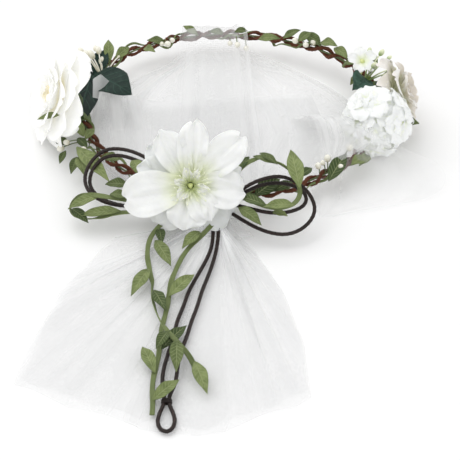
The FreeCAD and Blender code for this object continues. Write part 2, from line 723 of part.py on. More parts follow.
def main():
    """Build every node and write one STEP file for each."""
    os.makedirs("parts", exist_ok=True)
    for name, build in NODES.items():
        shape = build()
        if not shape.isValid():
            print(f"{name}: not valid")
        shape.exportStep(f"parts/{name}.step")
        box = shape.BoundBox
        print(f"{name}: {len(shape.Solids)} solids, z {box.ZMin:.1f} to {box.ZMax:.1f}")


main()
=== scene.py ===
"""Looks of a bridal flower crown: twisted vine, fabric flowers, cord bow, leaf ribbon and veil.

Everything is in metres in the crown's own frame: the origin is the middle of the
head opening on the surface the crown lies on, +Z is up and the bow is at -Y.
"""
import logging
import math
from dataclasses import dataclass, field
from enum import Enum
from typing import Any, Iterable, Sequence

import bpy
import numpy as np
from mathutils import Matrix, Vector


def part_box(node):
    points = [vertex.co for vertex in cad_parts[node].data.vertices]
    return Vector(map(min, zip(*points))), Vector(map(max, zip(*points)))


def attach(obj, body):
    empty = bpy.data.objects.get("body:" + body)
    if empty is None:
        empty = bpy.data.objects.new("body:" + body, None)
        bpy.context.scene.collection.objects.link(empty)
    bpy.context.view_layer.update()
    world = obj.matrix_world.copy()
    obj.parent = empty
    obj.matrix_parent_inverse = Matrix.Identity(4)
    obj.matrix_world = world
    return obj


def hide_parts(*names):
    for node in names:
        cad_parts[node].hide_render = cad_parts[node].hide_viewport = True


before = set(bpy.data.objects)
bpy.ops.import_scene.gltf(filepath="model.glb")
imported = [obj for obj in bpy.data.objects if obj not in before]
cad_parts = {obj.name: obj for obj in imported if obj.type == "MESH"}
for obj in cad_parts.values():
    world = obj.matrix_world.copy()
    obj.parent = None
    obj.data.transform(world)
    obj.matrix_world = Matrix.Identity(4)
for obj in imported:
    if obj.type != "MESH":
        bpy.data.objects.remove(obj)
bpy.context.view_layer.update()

LOG = logging.getLogger("flower_crown")
MM = 0.001
TURN = 2 * math.pi
ROUGH_TURN = 6.28
TABLE_GAP = 0.0006
PETAL_CLOTH = 0.0004
LEAF_CLOTH = 0.00035
THIN_CLOTH = 0.0003
BAND_CLOTH = 0.0005
BAND_WIDTH = 0.0031
ROPE_LAY = 0.0052
ROPE_SIDES = 12
STRAND_SIDES = 11
CURVE_STEPS = 12
CURVE_ORDER = 3
Point = Sequence[float]


# ---- vectors -------------------------------------------------------------
def mm(*values: float) -> np.ndarray:
    """A point in metres from millimetres."""
    return np.array(values, float) * MM


def unit(vector: Point) -> np.ndarray:
    """The vector at length one."""
    array = np.asarray(vector, float)
    return array / max(np.linalg.norm(array), 1e-12)


def smoothstep(low: float, high: float, value: np.ndarray) -> np.ndarray:
    """A smooth ramp from 0 at low to 1 at high."""
    share = np.clip((value - low) / (high - low), 0, 1)
    return share * share * (3 - 2 * share)


# ---- meshes --------------------------------------------------------------
def linked(name: str, data: Any) -> bpy.types.Object:
    """A new object in the scene with the data given."""
    obj = bpy.data.objects.new(name, data)
    bpy.context.scene.collection.objects.link(obj)
    return obj


class Sheaf:
    """Gathers grids into one mesh with a UV map and a tone attribute for each grid."""

    def __init__(self) -> None:
        """Start empty."""
        self.points: list[np.ndarray] = []
        self.faces: list[tuple[int, ...]] = []
        self.uvs: list[tuple[float, float]] = []
        self.tones: list[float] = []
        self.count = 0

    def add(self, grid: np.ndarray, tone: float | np.ndarray = 0.5, wrap: bool = False,
            capped: bool = False) -> None:
        """Add one grid of points as quads.

        Args:
            grid: points, rows along the piece and columns across or round it.
            tone: a value from 0 to 1 that the finish may use, one for the grid or one for each point.
            wrap: whether the last column joins the first.
            capped: whether the first and last rows are closed with a face.
        """
        rows, columns = grid.shape[:2]
        spans = columns if wrap else columns - 1
        base = self.count
        self.points.append(grid.reshape(-1, 3))
        self.count += rows * columns
        self.tones += np.broadcast_to(tone, (rows, columns)).ravel().tolist()
        for i in range(rows - 1):
            low, high = i / (rows - 1), (i + 1) / (rows - 1)
            for j in range(spans):
                k = (j + 1) % columns
                self.faces.append((base + i * columns + j, base + i * columns + k,
                        base + (i + 1) * columns + k, base + (i + 1) * columns + j))
                left, right = j / spans, (j + 1) / spans
                self.uvs += [(left, low), (right, low), (right, high), (left, high)]
        if capped:
            first = tuple(base + j for j in reversed(range(columns)))
            last = tuple(base + (rows - 1) * columns + j for j in range(columns))
            self.faces += [first, last]
            self.uvs += [(0.5, 0.0)] * columns + [(0.5, 1.0)] * columns

    def piece(self, name: str, material: bpy.types.Material, thickness: float = 0.0,
              levels: int = 0) -> bpy.types.Object:
        """Make the object.

        Args:
            name: the object's name.
            material: its finish.
            thickness: wall given to an open sheet, or 0.
            levels: subdivision levels.

        Returns:
            The new object, at the origin.
        """
        mesh = bpy.data.meshes.new(name)
        mesh.from_pydata(np.concatenate(self.points).tolist(), [], self.faces)
        layer = mesh.uv_layers.new(name="UVMap")
        layer.data.foreach_set("uv", np.array(self.uvs, np.float32).ravel())
        tone = mesh.attributes.new("tone", "FLOAT", "POINT")
        tone.data.foreach_set("value", np.array(self.tones, np.float32))
        mesh.materials.append(material)
        mesh.polygons.foreach_set("use_smooth", [True] * len(mesh.polygons))
        mesh.update()
        obj = linked(name, mesh)
        if thickness:
            shell = obj.modifiers.new("thickness", "SOLIDIFY")
            shell.thickness = thickness
            shell.offset = 0.0
        if levels:
            smooth = obj.modifiers.new("smooth", "SUBSURF")
            smooth.levels = smooth.render_levels = levels
        return obj


def settle(obj: bpy.types.Object, body: str, nodes: Iterable[str] = ()) -> bpy.types.Object:
    """Tell the frame which body a piece rides on and what it stands for.

    Args:
        obj: the finished piece; points that would sink into the table are laid on it.
        body: the body it rides on.
        nodes: CAD nodes it stands for.

    Returns:
        The same object.
    """
    points = np.empty(len(obj.data.vertices) * 3)
    obj.data.vertices.foreach_get("co", points)
    points[2::3] = np.maximum(points[2::3], TABLE_GAP)
    obj.data.vertices.foreach_set("co", points)
    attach(obj, body)
    if nodes:
        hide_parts(*nodes)
    LOG.info("%s rides on %s", obj.name, body)
    return obj


def spline_curve(name: str, points: Sequence[Point]) -> bpy.types.Object:
    """An open smooth curve whose control points are the route, in metres."""
    curve = bpy.data.curves.new(name, "CURVE")
    curve.dimensions = "3D"
    curve.resolution_u = CURVE_STEPS
    spline = curve.splines.new("NURBS")
    spline.points.add(len(points) - 1)
    for target, point in zip(spline.points, points):
        target.co = (*point, 1.0)
    spline.order_u = CURVE_ORDER
    spline.use_endpoint_u = True
    return linked(name, curve)


def spline_points(points: Sequence[Point], spacing: float) -> np.ndarray:
    """Evenly spaced points along the smooth curve of a route.

    Args:
        points: the route's control points in metres.
        spacing: distance between the points returned.

    Returns:
        An array of points.
    """
    obj = spline_curve("route", points)
    graph = bpy.context.evaluated_depsgraph_get()
    mesh = bpy.data.meshes.new_from_object(obj.evaluated_get(graph))
    line = np.array([v.co[:] for v in mesh.vertices])
    bpy.data.objects.remove(obj)
    bpy.data.meshes.remove(mesh)
    steps = np.linalg.norm(np.diff(line, axis=0), axis=1)
    along = np.concatenate([[0], np.cumsum(steps)])
    count = max(int(along[-1] / spacing), 4)
    wanted = np.linspace(0, along[-1], count)
    return np.stack([np.interp(wanted, along, line[:, k]) for k in range(3)], axis=1)


def length_of(line: np.ndarray) -> float:
    """Length of a line of points."""
    return float(np.linalg.norm(np.diff(line, axis=0), axis=1).sum())


def frames_along(line: np.ndarray, up: Point = (0, 0, 1)) -> tuple[np.ndarray, np.ndarray, np.ndarray]:
    """Tangent, side and normal at each point of a line, turning as little as they can.

    Args:
        line: points of the line.
        up: what the first normal leans to.

    Returns:
        Three arrays of unit vectors.
    """
    tangents = np.gradient(line, axis=0)
    tangents /= np.linalg.norm(tangents, axis=1)[:, None]
    normals = np.zeros_like(line)
    normal = np.asarray(up, float)
    for index, tangent in enumerate(tangents):
        normal = unit(normal - tangent * (normal @ tangent))
        normals[index] = normal
    return tangents, np.cross(tangents, normals), normals


def tube(line: np.ndarray, sides: np.ndarray, normals: np.ndarray, turn: np.ndarray,
         radius: np.ndarray) -> np.ndarray:
    """Rings round a line.

    Args:
        line: points of the line.
        sides: side vectors at the points.
        normals: normal vectors at the points.
        turn: angles round each ring.
        radius: radius by point and angle.

    Returns:
        The grid, to be wrapped.
    """
    return line[:, None, :] + radius[..., None] * (np.cos(turn)[None, :, None] * sides[:, None, :]
            + np.sin(turn)[None, :, None] * normals[:, None, :])


# ---- shader nodes --------------------------------------------------------
class Wire:
    """A shader value that takes arithmetic; each operator adds a Math node."""

    def __init__(self, book: "Finisher", socket: Any) -> None:
        """Wrap an output socket."""
        self.book = book
        self.socket = socket

    def _math(self, operation: str, *values: Any) -> "Wire":
        """One Math node."""
        settings = {"operation": operation}
        return self.book.node("ShaderNodeMath", settings, dict(enumerate(values))).out("Value")

    def __add__(self, other: Any) -> "Wire":
        """Sum."""
        return self._math("ADD", self, other)

    __radd__ = __add__

    def __sub__(self, other: Any) -> "Wire":
        """Difference."""
        return self._math("SUBTRACT", self, other)

    def __rsub__(self, other: Any) -> "Wire":
        """Reflected difference."""
        return self._math("SUBTRACT", other, self)

    def __mul__(self, other: Any) -> "Wire":
        """Product."""
        return self._math("MULTIPLY", self, other)

    __rmul__ = __mul__

    def __pow__(self, other: Any) -> "Wire":
        """Power."""
        return self._math("POWER", self, other)

    def sine(self) -> "Wire":
        """Sine."""
        return self._math("SINE", self)

    def absolute(self) -> "Wire":
        """Absolute value."""
        return self._math("ABSOLUTE", self)

    def ramp(self, low: float, high: float, start: float = 0.0, end: float = 1.0) -> "Wire":
        """A clamped smooth map of low..high to start..end."""
        settings = {"interpolation_type": "SMOOTHSTEP"}
        values = {"Value": self, "From Min": low, "From Max": high, "To Min": start, "To Max": end}
        return self.book.node("ShaderNodeMapRange", settings, values).out("Result")


class Built:
    """A node that was added, whose outputs are asked for by name."""

    def __init__(self, book: "Finisher", node: Any) -> None:
        """Wrap the node."""
        self.book = book
        self.raw = node

    def out(self, name: str | int) -> Wire:
        """An output by name or index."""
        return Wire(self.book, self.raw.outputs[name])


class Finisher:
    """Builds one material's node tree."""

    def __init__(self, name: str) -> None:
        """Start a material with a Principled shader."""
        self.material = bpy.data.materials.new(name)
        self.material.use_nodes = True
        self.tree = self.material.node_tree
        self.shader = self.tree.nodes["Principled BSDF"]
        self._places: dict[str, Wire] = {}

    def node(self, kind: str, settings: dict[str, Any] | None = None,
             inputs: dict[Any, Any] | None = None) -> Built:
        """Add a node.

        Args:
            kind: the node's type.
            settings: properties, set first; "stops" fills a colour ramp.
            inputs: values or wires by socket name or index.

        Returns:
            The node that was added.
        """
        made = self.tree.nodes.new(kind)
        for key, value in (settings or {}).items():
            if key == "stops":
                self._stops(made.color_ramp, value)
            else:
                setattr(made, key, value)
        for key, value in (inputs or {}).items():
            self.feed(made.inputs[key], value)
        return Built(self, made)

    def _stops(self, ramp: Any, stops: Sequence[tuple[float, tuple[float, float, float]]]) -> None:
        """Fill a colour ramp with stops."""
        while len(ramp.elements) < len(stops):
            ramp.elements.new(1.0)
        for element, (place, colour) in zip(ramp.elements, stops):
            element.position = place
            element.color = (*colour, 1.0)

    def feed(self, socket: Any, value: Any) -> None:
        """Link a wire to a socket, or set its value."""
        if isinstance(value, Wire):
            self.tree.links.new(value.socket, socket)
        elif hasattr(value, "__len__") and len(value) == 3 and socket.type == "RGBA":
            socket.default_value = (*value, 1.0)
        else:
            socket.default_value = value

    def place(self, kind: str = "Object") -> Wire:
        """Texture coordinates: Object or UV."""
        if kind not in self._places:
            self._places[kind] = self.node("ShaderNodeTexCoord").out(kind)
        return self._places[kind]

    def across_along(self) -> tuple[Wire, Wire]:
        """The UV map's two numbers: across the piece and along it."""
        split = self.node("ShaderNodeSeparateXYZ", {}, {0: self.place("UV")})
        return split.out("X"), split.out("Y")

    def tone(self) -> Wire:
        """The tone given to each grid."""
        return self.node("ShaderNodeAttribute", {"attribute_name": "tone"}).out("Fac")

    def noise(self, scale: float, detail: float = 2.0, stretch: Point = (1, 1, 1), kind: str = "Object",
              roughness: float = 0.55) -> Wire:
        """Noise from 0 to 1.

        Args:
            scale: larger is finer.
            detail: octaves.
            stretch: scale of each axis.
            kind: the coordinates it reads, Object or UV.
            roughness: weight of the finer octaves.

        Returns:
            The noise.
        """
        moved = self.node("ShaderNodeMapping", {}, {"Vector": self.place(kind), "Scale": tuple(stretch)})
        values = {"Vector": moved.out("Vector"), "Scale": scale, "Detail": detail, "Roughness": roughness}
        return self.node("ShaderNodeTexNoise", {}, values).out("Fac")

    def mix(self, share: Wire | float, first: Any, second: Any, blend: str = "MIX") -> Wire:
        """Mix two colours.

        Args:
            share: 0 gives the first and 1 the second.
            first: a colour or a wire.
            second: a colour or a wire.
            blend: the way they mix.

        Returns:
            The mixed colour.
        """
        made = self.node("ShaderNodeMix", {"data_type": "RGBA", "blend_type": blend, "clamp_result": True})
        self.feed(made.raw.inputs["Factor"], share)
        self.feed(made.raw.inputs[6], first)
        self.feed(made.raw.inputs[7], second)
        return Wire(self, made.raw.outputs[2])

    def bump(self, height: Wire, strength: float, distance: float) -> Wire:
        """A bumped normal."""
        values = {"Height": height, "Strength": strength, "Distance": distance}
        return self.node("ShaderNodeBump", {}, values).out("Normal")

    def done(self, **sockets: Any) -> bpy.types.Material:
        """Set the shader's sockets by name, with underscores for spaces, and give the material."""
        for key, value in sockets.items():
            self.feed(self.shader.inputs[key.replace("_", " ")], value)
        return self.material


# ---- finishes ------------------------------------------------------------
Colour = tuple[float, float, float]


@dataclass(frozen=True)
class PetalFinish:
    """Moulded fabric petal: fine weave, lengthwise veins, a tinted foot, and a painted glow that lifts it out
    of its shade.
    """

    name: str
    body: Colour
    shade: Colour
    foot: Colour
    foot_reach: float = 0.35
    tip: Colour | None = None
    vein_count: float = 16.0
    vein_depth: float = 0.35
    painted_glow: float = 0.06
    crumple: float = 0.8

    def make(self) -> bpy.types.Material:
        """Build the material."""
        book = Finisher(self.name)
        across, along = book.across_along()
        drift = book.noise(180.0, 3.0)
        # Low tones take the shade colour: a random tone on most flowers, painted shade on the magnolia's back
        # petals.
        body = book.mix(book.tone().ramp(0.0, 1.0), self.shade, self.body)
        body = book.mix((drift - 0.5).ramp(-0.1, 0.25, 0.0, 0.25), body, self.shade)
        if self.tip:
            body = book.mix(along.ramp(0.75, 1.0, 0.0, 0.7), body, self.tip)
        edge = self.foot_reach + 0.12 * (drift - 0.5)
        tinted = book.mix((edge - along).ramp(-0.22, 0.22), body, self.foot)
        fan = (across - 0.5) * (self.vein_count * TURN) + (drift * 5.0)
        veins = fan.sine().absolute() ** 0.6
        weave = book.noise(2600.0, 1.0)
        crumple = book.noise(420.0, 4.0, (1, 1, 1), "Object", 0.6)
        relief = veins * self.vein_depth + weave * 0.2 + drift * 0.5 + crumple * self.crumple
        normal = book.bump(relief, 0.6, 0.0008)
        # The emission is painted light: a glow that brightens the petals where they lie in shade, though they
        # are no lamp.
        return book.done(Base_Color=tinted, Roughness=0.72, Normal=normal, Subsurface_Weight=0.25,
                Subsurface_Radius=(0.004, 0.004, 0.003), Subsurface_Scale=0.4,
                Sheen_Weight=0.25, Sheen_Roughness=0.5,
                Emission_Color=tinted, Emission_Strength=self.painted_glow)


@dataclass(frozen=True)
class LeafFinish:
    """Printed fabric leaf: pale midrib and side veins, with each leaf a little different."""

    name: str
    light: Colour
    dark: Colour
    vein: Colour
    side_veins: float = 9.0
    roughness: float = 0.62
    slant: float = 3.2
    sheen: float = 0.08

    def make(self) -> bpy.types.Material:
        """Build the material."""
        book = Finisher(self.name)
        across, along = book.across_along()
        off_rib = (across - 0.5).absolute() * 2.0
        drift = book.noise(240.0, 4.0)
        body = book.mix(book.tone().ramp(0.0, 1.0), self.dark, self.light)
        body = book.mix(drift.ramp(0.35, 0.75, 0.0, 0.5), body, self.dark)
        side = ((along * self.side_veins - off_rib * (self.slant * 0.5)) * TURN).sine()
        side_line = side.ramp(0.82, 1.0) * off_rib.ramp(0.0, 0.15) * off_rib.ramp(1.0, 0.75)
        rib_line = off_rib.ramp(0.10, 0.02)
        veined = book.mix(rib_line * 0.5, book.mix(side_line * 0.5, body, self.vein), self.vein)
        # Darker towards the rim of each leaf.
        darker_at_rim = book.mix(off_rib.ramp(0.86, 1.0, 0.0, 0.35), veined, self.dark)
        weave = book.noise(3200.0, 1.0)
        relief = rib_line * 0.9 + side_line * 0.6 + side * 0.12 + weave * 0.25 + drift * 0.3
        normal = book.bump(relief, 0.6, 0.0006)
        return book.done(Base_Color=darker_at_rim,
                Roughness=drift.ramp(0.2, 0.8, self.roughness - 0.12, self.roughness + 0.1),
                Normal=normal, Sheen_Weight=self.sheen, Sheen_Roughness=0.4,
                Specular_IOR_Level=0.3)


@dataclass(frozen=True)
class FibreFinish:
    """A twisted or wrapped fibre: streaks along its length, waxed or raw."""

    name: str
    light: Colour
    dark: Colour
    streaks: float = 60.0
    ply: float = 0.0
    ply_turns: float = 0.0
    roughness: float = 0.55
    coat: float = 0.0
    relief: float = 0.5

    def make(self) -> bpy.types.Material:
        """Build the material."""
        book = Finisher(self.name)
        across, along = book.across_along()
        grain = book.noise(self.streaks, 4.0, (1.0, 0.06, 1.0), "UV", 0.65)
        patch = book.noise(90.0, 3.0)
        colour = book.mix(grain.ramp(0.30, 0.72), self.dark, self.light)
        colour = book.mix(patch.ramp(0.45, 0.8, 0.0, 0.6), colour, self.dark)
        relief = grain * 0.6 + book.noise(2400.0, 2.0) * 0.25
        if self.ply:
            lay = ((across * self.ply + along * self.ply_turns) * TURN).sine()
            # Painted shade: the grooves between the plies are darkened.
            colour = book.mix(lay.ramp(-0.2, -1.0, 0.0, 0.65), colour, self.dark)
            relief = relief + lay * 0.5
        normal = book.bump(relief, self.relief, 0.0004)
        return book.done(Base_Color=colour, Normal=normal, Coat_Weight=self.coat, Coat_Roughness=0.35,
                Specular_IOR_Level=0.3,
                Roughness=grain.ramp(0.2, 0.8, self.roughness + 0.1, self.roughness - 0.1))


@dataclass(frozen=True)
class PearlFinish:
    """A small berry or bud: soft gloss, freckled, paler towards its tip."""

    name: str
    light: Colour
    dark: Colour
    coat: float = 0.4

    def make(self) -> bpy.types.Material:
        """Build the material."""
        book = Finisher(self.name)
        _, along = book.across_along()
        drift = book.noise(500.0, 3.0)
        colour = book.mix(along.ramp(0.15, 0.75), self.dark, self.light)
        colour = book.mix(drift.ramp(0.5, 0.8, 0.0, 0.4), colour, self.dark)
        return book.done(Base_Color=colour, Roughness=drift.ramp(0.2, 0.8, 0.25, 0.42),
                Normal=book.bump(drift, 0.25, 0.0004), Coat_Weight=self.coat)


@dataclass(frozen=True)
class TulleFinish:
    """Fine net: threads too fine to part from afar, denser where the cloth is gathered, and painted lighter and
    glowing there.
    """

    name: str
    thread: Colour
    thin: float
    dense: float
    painted_glow: float = 0.17
    cells: float = 2300.0
    contrast: float = 0.08

    def make(self) -> bpy.types.Material:
        """Build the material."""
        book = Finisher(self.name)
        cell = book.node("ShaderNodeTexVoronoi", {"feature": "DISTANCE_TO_EDGE"},
                {"Vector": book.place("Object"), "Scale": self.cells, "Randomness": 0.7})
        threads = cell.out("Distance").ramp(0.24, 0.06)
        cloud = book.noise(30.0, 3.0)
        cover = book.tone() * (self.dense - self.thin) + (cloud - 0.5) * 0.14 + self.thin
        alpha = cover + (threads - 0.5) * self.contrast
        # Painted light: the denser, gathered cloth gets a whiter colour and a brighter emission glow, which
        # lift its pleats out of the shade of the layers and flowers; the tulle is no lamp.
        colour = book.mix(book.tone().ramp(0.2, 1.0), self.thread, (0.93, 0.935, 0.94))
        return book.done(Base_Color=colour, Roughness=0.85, Alpha=alpha, Specular_IOR_Level=0.2,
                Emission_Color=book.mix(book.tone().ramp(0.1, 0.9), (0.035, 0.035, 0.035),
                (self.painted_glow, self.painted_glow, self.painted_glow)), Emission_Strength=1.0,
                Normal=book.bump(cloud + book.noise(150.0, 2.0) * 0.5, 0.25, 0.0008))


@dataclass(frozen=True)
class FloorFinish:
    """The plain pale surface under the crown."""

    name: str = "pale_floor"
    colour: Colour = (0.93, 0.93, 0.93)

    def make(self) -> bpy.types.Material:
        """Build the material."""
        book = Finisher(self.name)
        drift = book.noise(3.0, 2.0)
        colour = book.mix(drift.ramp(0.3, 0.7, 0.0, 0.02), self.colour, (0.90, 0.90, 0.90))
        return book.done(Base_Color=colour, Roughness=0.9, Specular_IOR_Level=0.1)


class Palette:
    """Every finish of the crown, each made once."""

    def __init__(self) -> None:
        """Make the materials."""
        white = (0.90, 0.91, 0.89)
        # The magnolia's grey second colour is painted shade, given to its back petals by their low tones.
        self.magnolia = PetalFinish("magnolia_silk", white, (0.78, 0.80, 0.78), (0.80, 0.86, 0.50),
                0.20).make()
        self.magnolia_inner = PetalFinish("magnolia_heart_silk", (0.90, 0.91, 0.86), (0.86, 0.88, 0.76),
                (0.80, 0.86, 0.54), 0.30).make()
        self.peony = PetalFinish("peony_silk", (0.94, 0.94, 0.92), (0.88, 0.88, 0.85), (0.90, 0.86, 0.68),
                0.20,
                vein_count=10, vein_depth=0.2, painted_glow=0.15, crumple=0.25).make()
        self.peony_heart = PetalFinish("peony_heart_silk", (0.92, 0.88, 0.72), (0.86, 0.76, 0.46),
                (0.88, 0.62, 0.20), 0.5, vein_count=8, painted_glow=0.15, crumple=0.3).make()
        self.hydrangea = PetalFinish("hydrangea_silk", (0.93, 0.94, 0.93), (0.84, 0.86, 0.84),
                (0.84, 0.90, 0.60), 0.20,
                vein_count=5, painted_glow=0.09, crumple=0.3).make()
        self.rose = PetalFinish("rose_silk", (0.90, 0.89, 0.86), (0.56, 0.49, 0.39), (0.56, 0.56, 0.38), 0.42,
                (0.90, 0.84, 0.80), vein_count=6, crumple=0.3).make()
        self.sage = LeafFinish("sage_leaf_satin", (0.225, 0.275, 0.100), (0.042, 0.070, 0.018),
                (0.40, 0.45, 0.22)).make()
        self.teal = LeafFinish("teal_leaf_print", (0.036, 0.100, 0.070), (0.004, 0.013, 0.010),
                (0.030, 0.075, 0.054), 7, 0.6, sheen=0.0).make()
        self.ribbon = FibreFinish("leaf_ribbon_weave", (0.25, 0.30, 0.125), (0.09, 0.12, 0.04), 40.0,
                roughness=0.7).make()
        self.cord = FibreFinish("waxed_cord_brown", (0.050, 0.028, 0.022), (0.005, 0.003, 0.0025), 50.0,
                3.0, 60.0,
                0.50, 0.06, 0.7).make()
        self.vine = FibreFinish("rust_rattan", (0.22, 0.070, 0.030), (0.035, 0.012, 0.008), 130.0,
                roughness=0.8,
                relief=1.0).make()
        self.tape = FibreFinish("floral_tape_green", (0.16, 0.20, 0.09), (0.07, 0.10, 0.04), 30.0,
                roughness=0.75).make()
        self.iron = FibreFinish("stem_wire_wrap", (0.20, 0.25, 0.11), (0.10, 0.13, 0.06), 30.0,
                roughness=0.7).make()
        self.stamen = PearlFinish("stamen_thread", (0.90, 0.92, 0.72), (0.70, 0.78, 0.42), 0.1).make()
        self.centre = PearlFinish("flocked_centre", (0.72, 0.78, 0.34), (0.42, 0.52, 0.14), 0.0).make()
        self.ivory = PearlFinish("ivory_berry", (0.90, 0.88, 0.78), (0.72, 0.68, 0.52), 0.5).make()
        self.bud = PearlFinish("green_bud", (0.80, 0.84, 0.58), (0.30, 0.42, 0.14), 0.1).make()
        self.tulle = TulleFinish("veil_tulle", (0.81, 0.812, 0.815), 0.26, 0.90).make()
        self.floor = FloorFinish().make()


# ---- petals --------------------------------------------------------------
@dataclass(frozen=True)
class PetalCut:
    """One petal's shape: sizes in millimetres, angles in degrees above the flower's face."""

    length: float
    width: float
    foot_angle: float
    tip_angle: float
    hollow: float = 0.7
    belly: float = 0.58
    blunt: float = 0.55
    foot: float = 0.30
    ruffle: float = 0.8
    waves: float = 2.5
    crease: float = 0.35
    curl: float = 0.0
    sway: float = 0.0
    rows: int = 18
    columns: int = 13

    def grid(self, rng: np.random.Generator) -> np.ndarray:
        """Points of the petal in radial, side and axial millimetres.

        Args:
            rng: seeded source of small differences.

        Returns:
            A grid of points.
        """
        share = 1 - (1 - np.linspace(0, 1, self.rows)) ** 1.5
        share = share * 0.992
        angle = np.radians(self.foot_angle + (self.tip_angle - self.foot_angle) * share ** 1.15)
        step = np.diff(share, prepend=0) * self.length
        radial = np.cumsum(np.cos(angle) * step)
        axial = np.cumsum(np.sin(angle) * step)
        power = math.log(0.5) / math.log(self.belly)
        swell = np.sin(np.pi * share ** power) ** self.blunt
        neck = self.foot * (1 - share) ** 1.5
        half = self.width / 2 * (neck + (1 - neck) * swell)
        across = np.linspace(-1, 1, self.columns)
        u, v = np.meshgrid(share, across, indexing="ij")
        bend = self.hollow * (1 - 0.45 * u)
        width = half[:, None]
        side = width * np.sin(v * bend) / bend
        rise = width * (1 - np.cos(v * bend)) / bend
        phase = rng.uniform(0, TURN, 4)
        rim = np.abs(v) ** 2.2 * np.sqrt(u)
        rise = rise + self.ruffle * rim * np.sin(self.waves * TURN * u + phase[0] + 1.3 * v)
        tip_zone = smoothstep(0.72, 1.0, u)
        rise = rise + self.ruffle * 0.8 * tip_zone * np.sin(5.0 * v + phase[1])
        gutter = -np.exp(-(v / 0.10) ** 2) + 0.55 * np.cos(7.5 * v + phase[2]) * (1 - v * v)
        gutter = gutter + 0.35 * np.cos(15.0 * v + 1.5 * np.sin(5 * u + phase[3])) * (1 - v * v)
        rise = rise + self.crease * gutter * np.sin(np.pi * np.clip(u, 0, 1)) ** 0.7
        rise = rise - self.curl * np.abs(v) ** 3 * u * u - self.curl * smoothstep(0.7, 1.0, u) ** 2
        stretch = 1 + 0.035 * np.sin(3.2 * v + phase[3]) * smoothstep(0.6, 1.0, u)
        radial_grid = radial[:, None] * stretch - np.sin(angle)[:, None] * rise
        axial_grid = axial[:, None] * stretch + np.cos(angle)[:, None] * rise
        side = side + self.sway * u * u * self.length
        return np.stack([radial_grid, side, axial_grid], axis=-1)


@dataclass(frozen=True)
class FlowerSeat:
    """Where a flower sits: base point in millimetres, the way it faces, and its own up."""

    base: tuple[float, float, float]
    facing: tuple[float, float, float]
    up: tuple[float, float, float] = (0.0, 0.0, 1.0)

    def axes(self) -> tuple[np.ndarray, np.ndarray, np.ndarray]:
        """Right, up and facing unit vectors."""
        facing = unit(self.facing)
        right = unit(np.cross(self.up, facing))
        return right, np.cross(facing, right), facing

    def place(self, local: np.ndarray, turn_deg: float, lift: float = 0.0, start: float = 0.0) -> np.ndarray:
        """Radial, side and axial millimetres to points in metres.

        Args:
            local: the grid of points.
            turn_deg: angle round the flower, from its right towards its up.
            lift: height above the base.
            start: distance from the axis to the petal's foot.

        Returns:
            The grid in the crown's frame.
        """
        right, up, facing = self.axes()
        turn = math.radians(turn_deg)
        outward = math.cos(turn) * right + math.sin(turn) * up
        sideways = -math.sin(turn) * right + math.cos(turn) * up
        moved = (local[..., 0:1] + start) * outward + local[..., 1:2] * sideways
        return (np.asarray(self.base) + moved + (local[..., 2:3] + lift) * facing) * MM


@dataclass(frozen=True)
class Whorl:
    """A ring of petals of one cut."""

    cut: PetalCut
    count: int
    phase: float = 0.0
    lift: float = 0.0
    start: float = 1.0
    jitter: float = 6.0

    def fill(self, sheaf: Sheaf, seat: FlowerSeat, rng: np.random.Generator) -> None:
        """Add the petals to a sheaf.

        Args:
            sheaf: what takes the petals.
            seat: the flower's place.
            rng: seeded source of small differences.
        """
        for index in range(self.count):
            turn = self.phase + 360 * index / self.count + rng.uniform(-self.jitter, self.jitter)
            size = rng.uniform(0.92, 1.05)
            grid = self.cut.grid(rng) * size
            grid = seat.place(grid, turn, self.lift + rng.uniform(0, 0.6), self.start)
            sheaf.add(grid, tone=float(rng.uniform(0.3, 1.0)))


def blob(centre: np.ndarray, radii: Point, rng: np.random.Generator, axis: Point = (0, 0, 1),
         lumps: float = 0.04, rows: int = 8, columns: int = 12) -> np.ndarray:
    """A closed rounded bead as a grid of rings.

    Args:
        centre: its middle, in metres.
        radii: radius across and half height along the axis, in metres.
        rng: seeded source of lumps.
        axis: its long axis.
        lumps: share by which the surface wavers.
        rows: rings from end to end.
        columns: points in each ring.

    Returns:
        The grid, to be wrapped and capped.
    """
    along = unit(axis)
    helper = (1, 0, 0) if abs(along[0]) < 0.8 else (0, 1, 0)
    side = unit(np.cross(along, helper))
    other = np.cross(along, side)
    polar = np.linspace(0.12, math.pi - 0.12, rows)
    turn = np.linspace(0, TURN, columns, endpoint=False)
    waver = 1 + lumps * np.sin(3 * turn[None, :] + rng.uniform(0, 6)) * np.sin(polar)[:, None]
    ring = np.sin(polar)[:, None] * radii[0] * waver
    height = -np.cos(polar)[:, None] * radii[1]
    return (centre + ring[..., None] * (np.cos(turn)[None, :, None] * side
            + np.sin(turn)[None, :, None] * other)
            + height[..., None] * along)


def stalk(line: np.ndarray, radius: float, end_radius: float | None = None, columns: int = 8) -> np.ndarray:
    """A round stalk along a line.

    Args:
        line: points in metres.
        radius: its radius.
        end_radius: its radius at the last point, where that differs.
        columns: points in each ring.

    Returns:
        Rings, to be wrapped and capped.
    """
    _, sides, normals = frames_along(line, (0.31, 0.17, 0.93))
    turn = np.linspace(0, TURN, columns, endpoint=False)
    radii = np.linspace(radius, radius if end_radius is None else end_radius, len(line))
    return tube(line, sides, normals, turn, radii[:, None])


def bowed(start: Point, end: Point, bow: Point = (0, 0, 0), count: int = 8) -> np.ndarray:
    """A gently bowed line between two points, all in metres."""
    share = np.linspace(0, 1, count)[:, None]
    hump = np.asarray(bow) * 4 * share * (1 - share)
    return np.asarray(start) * (1 - share) + np.asarray(end) * share + hump


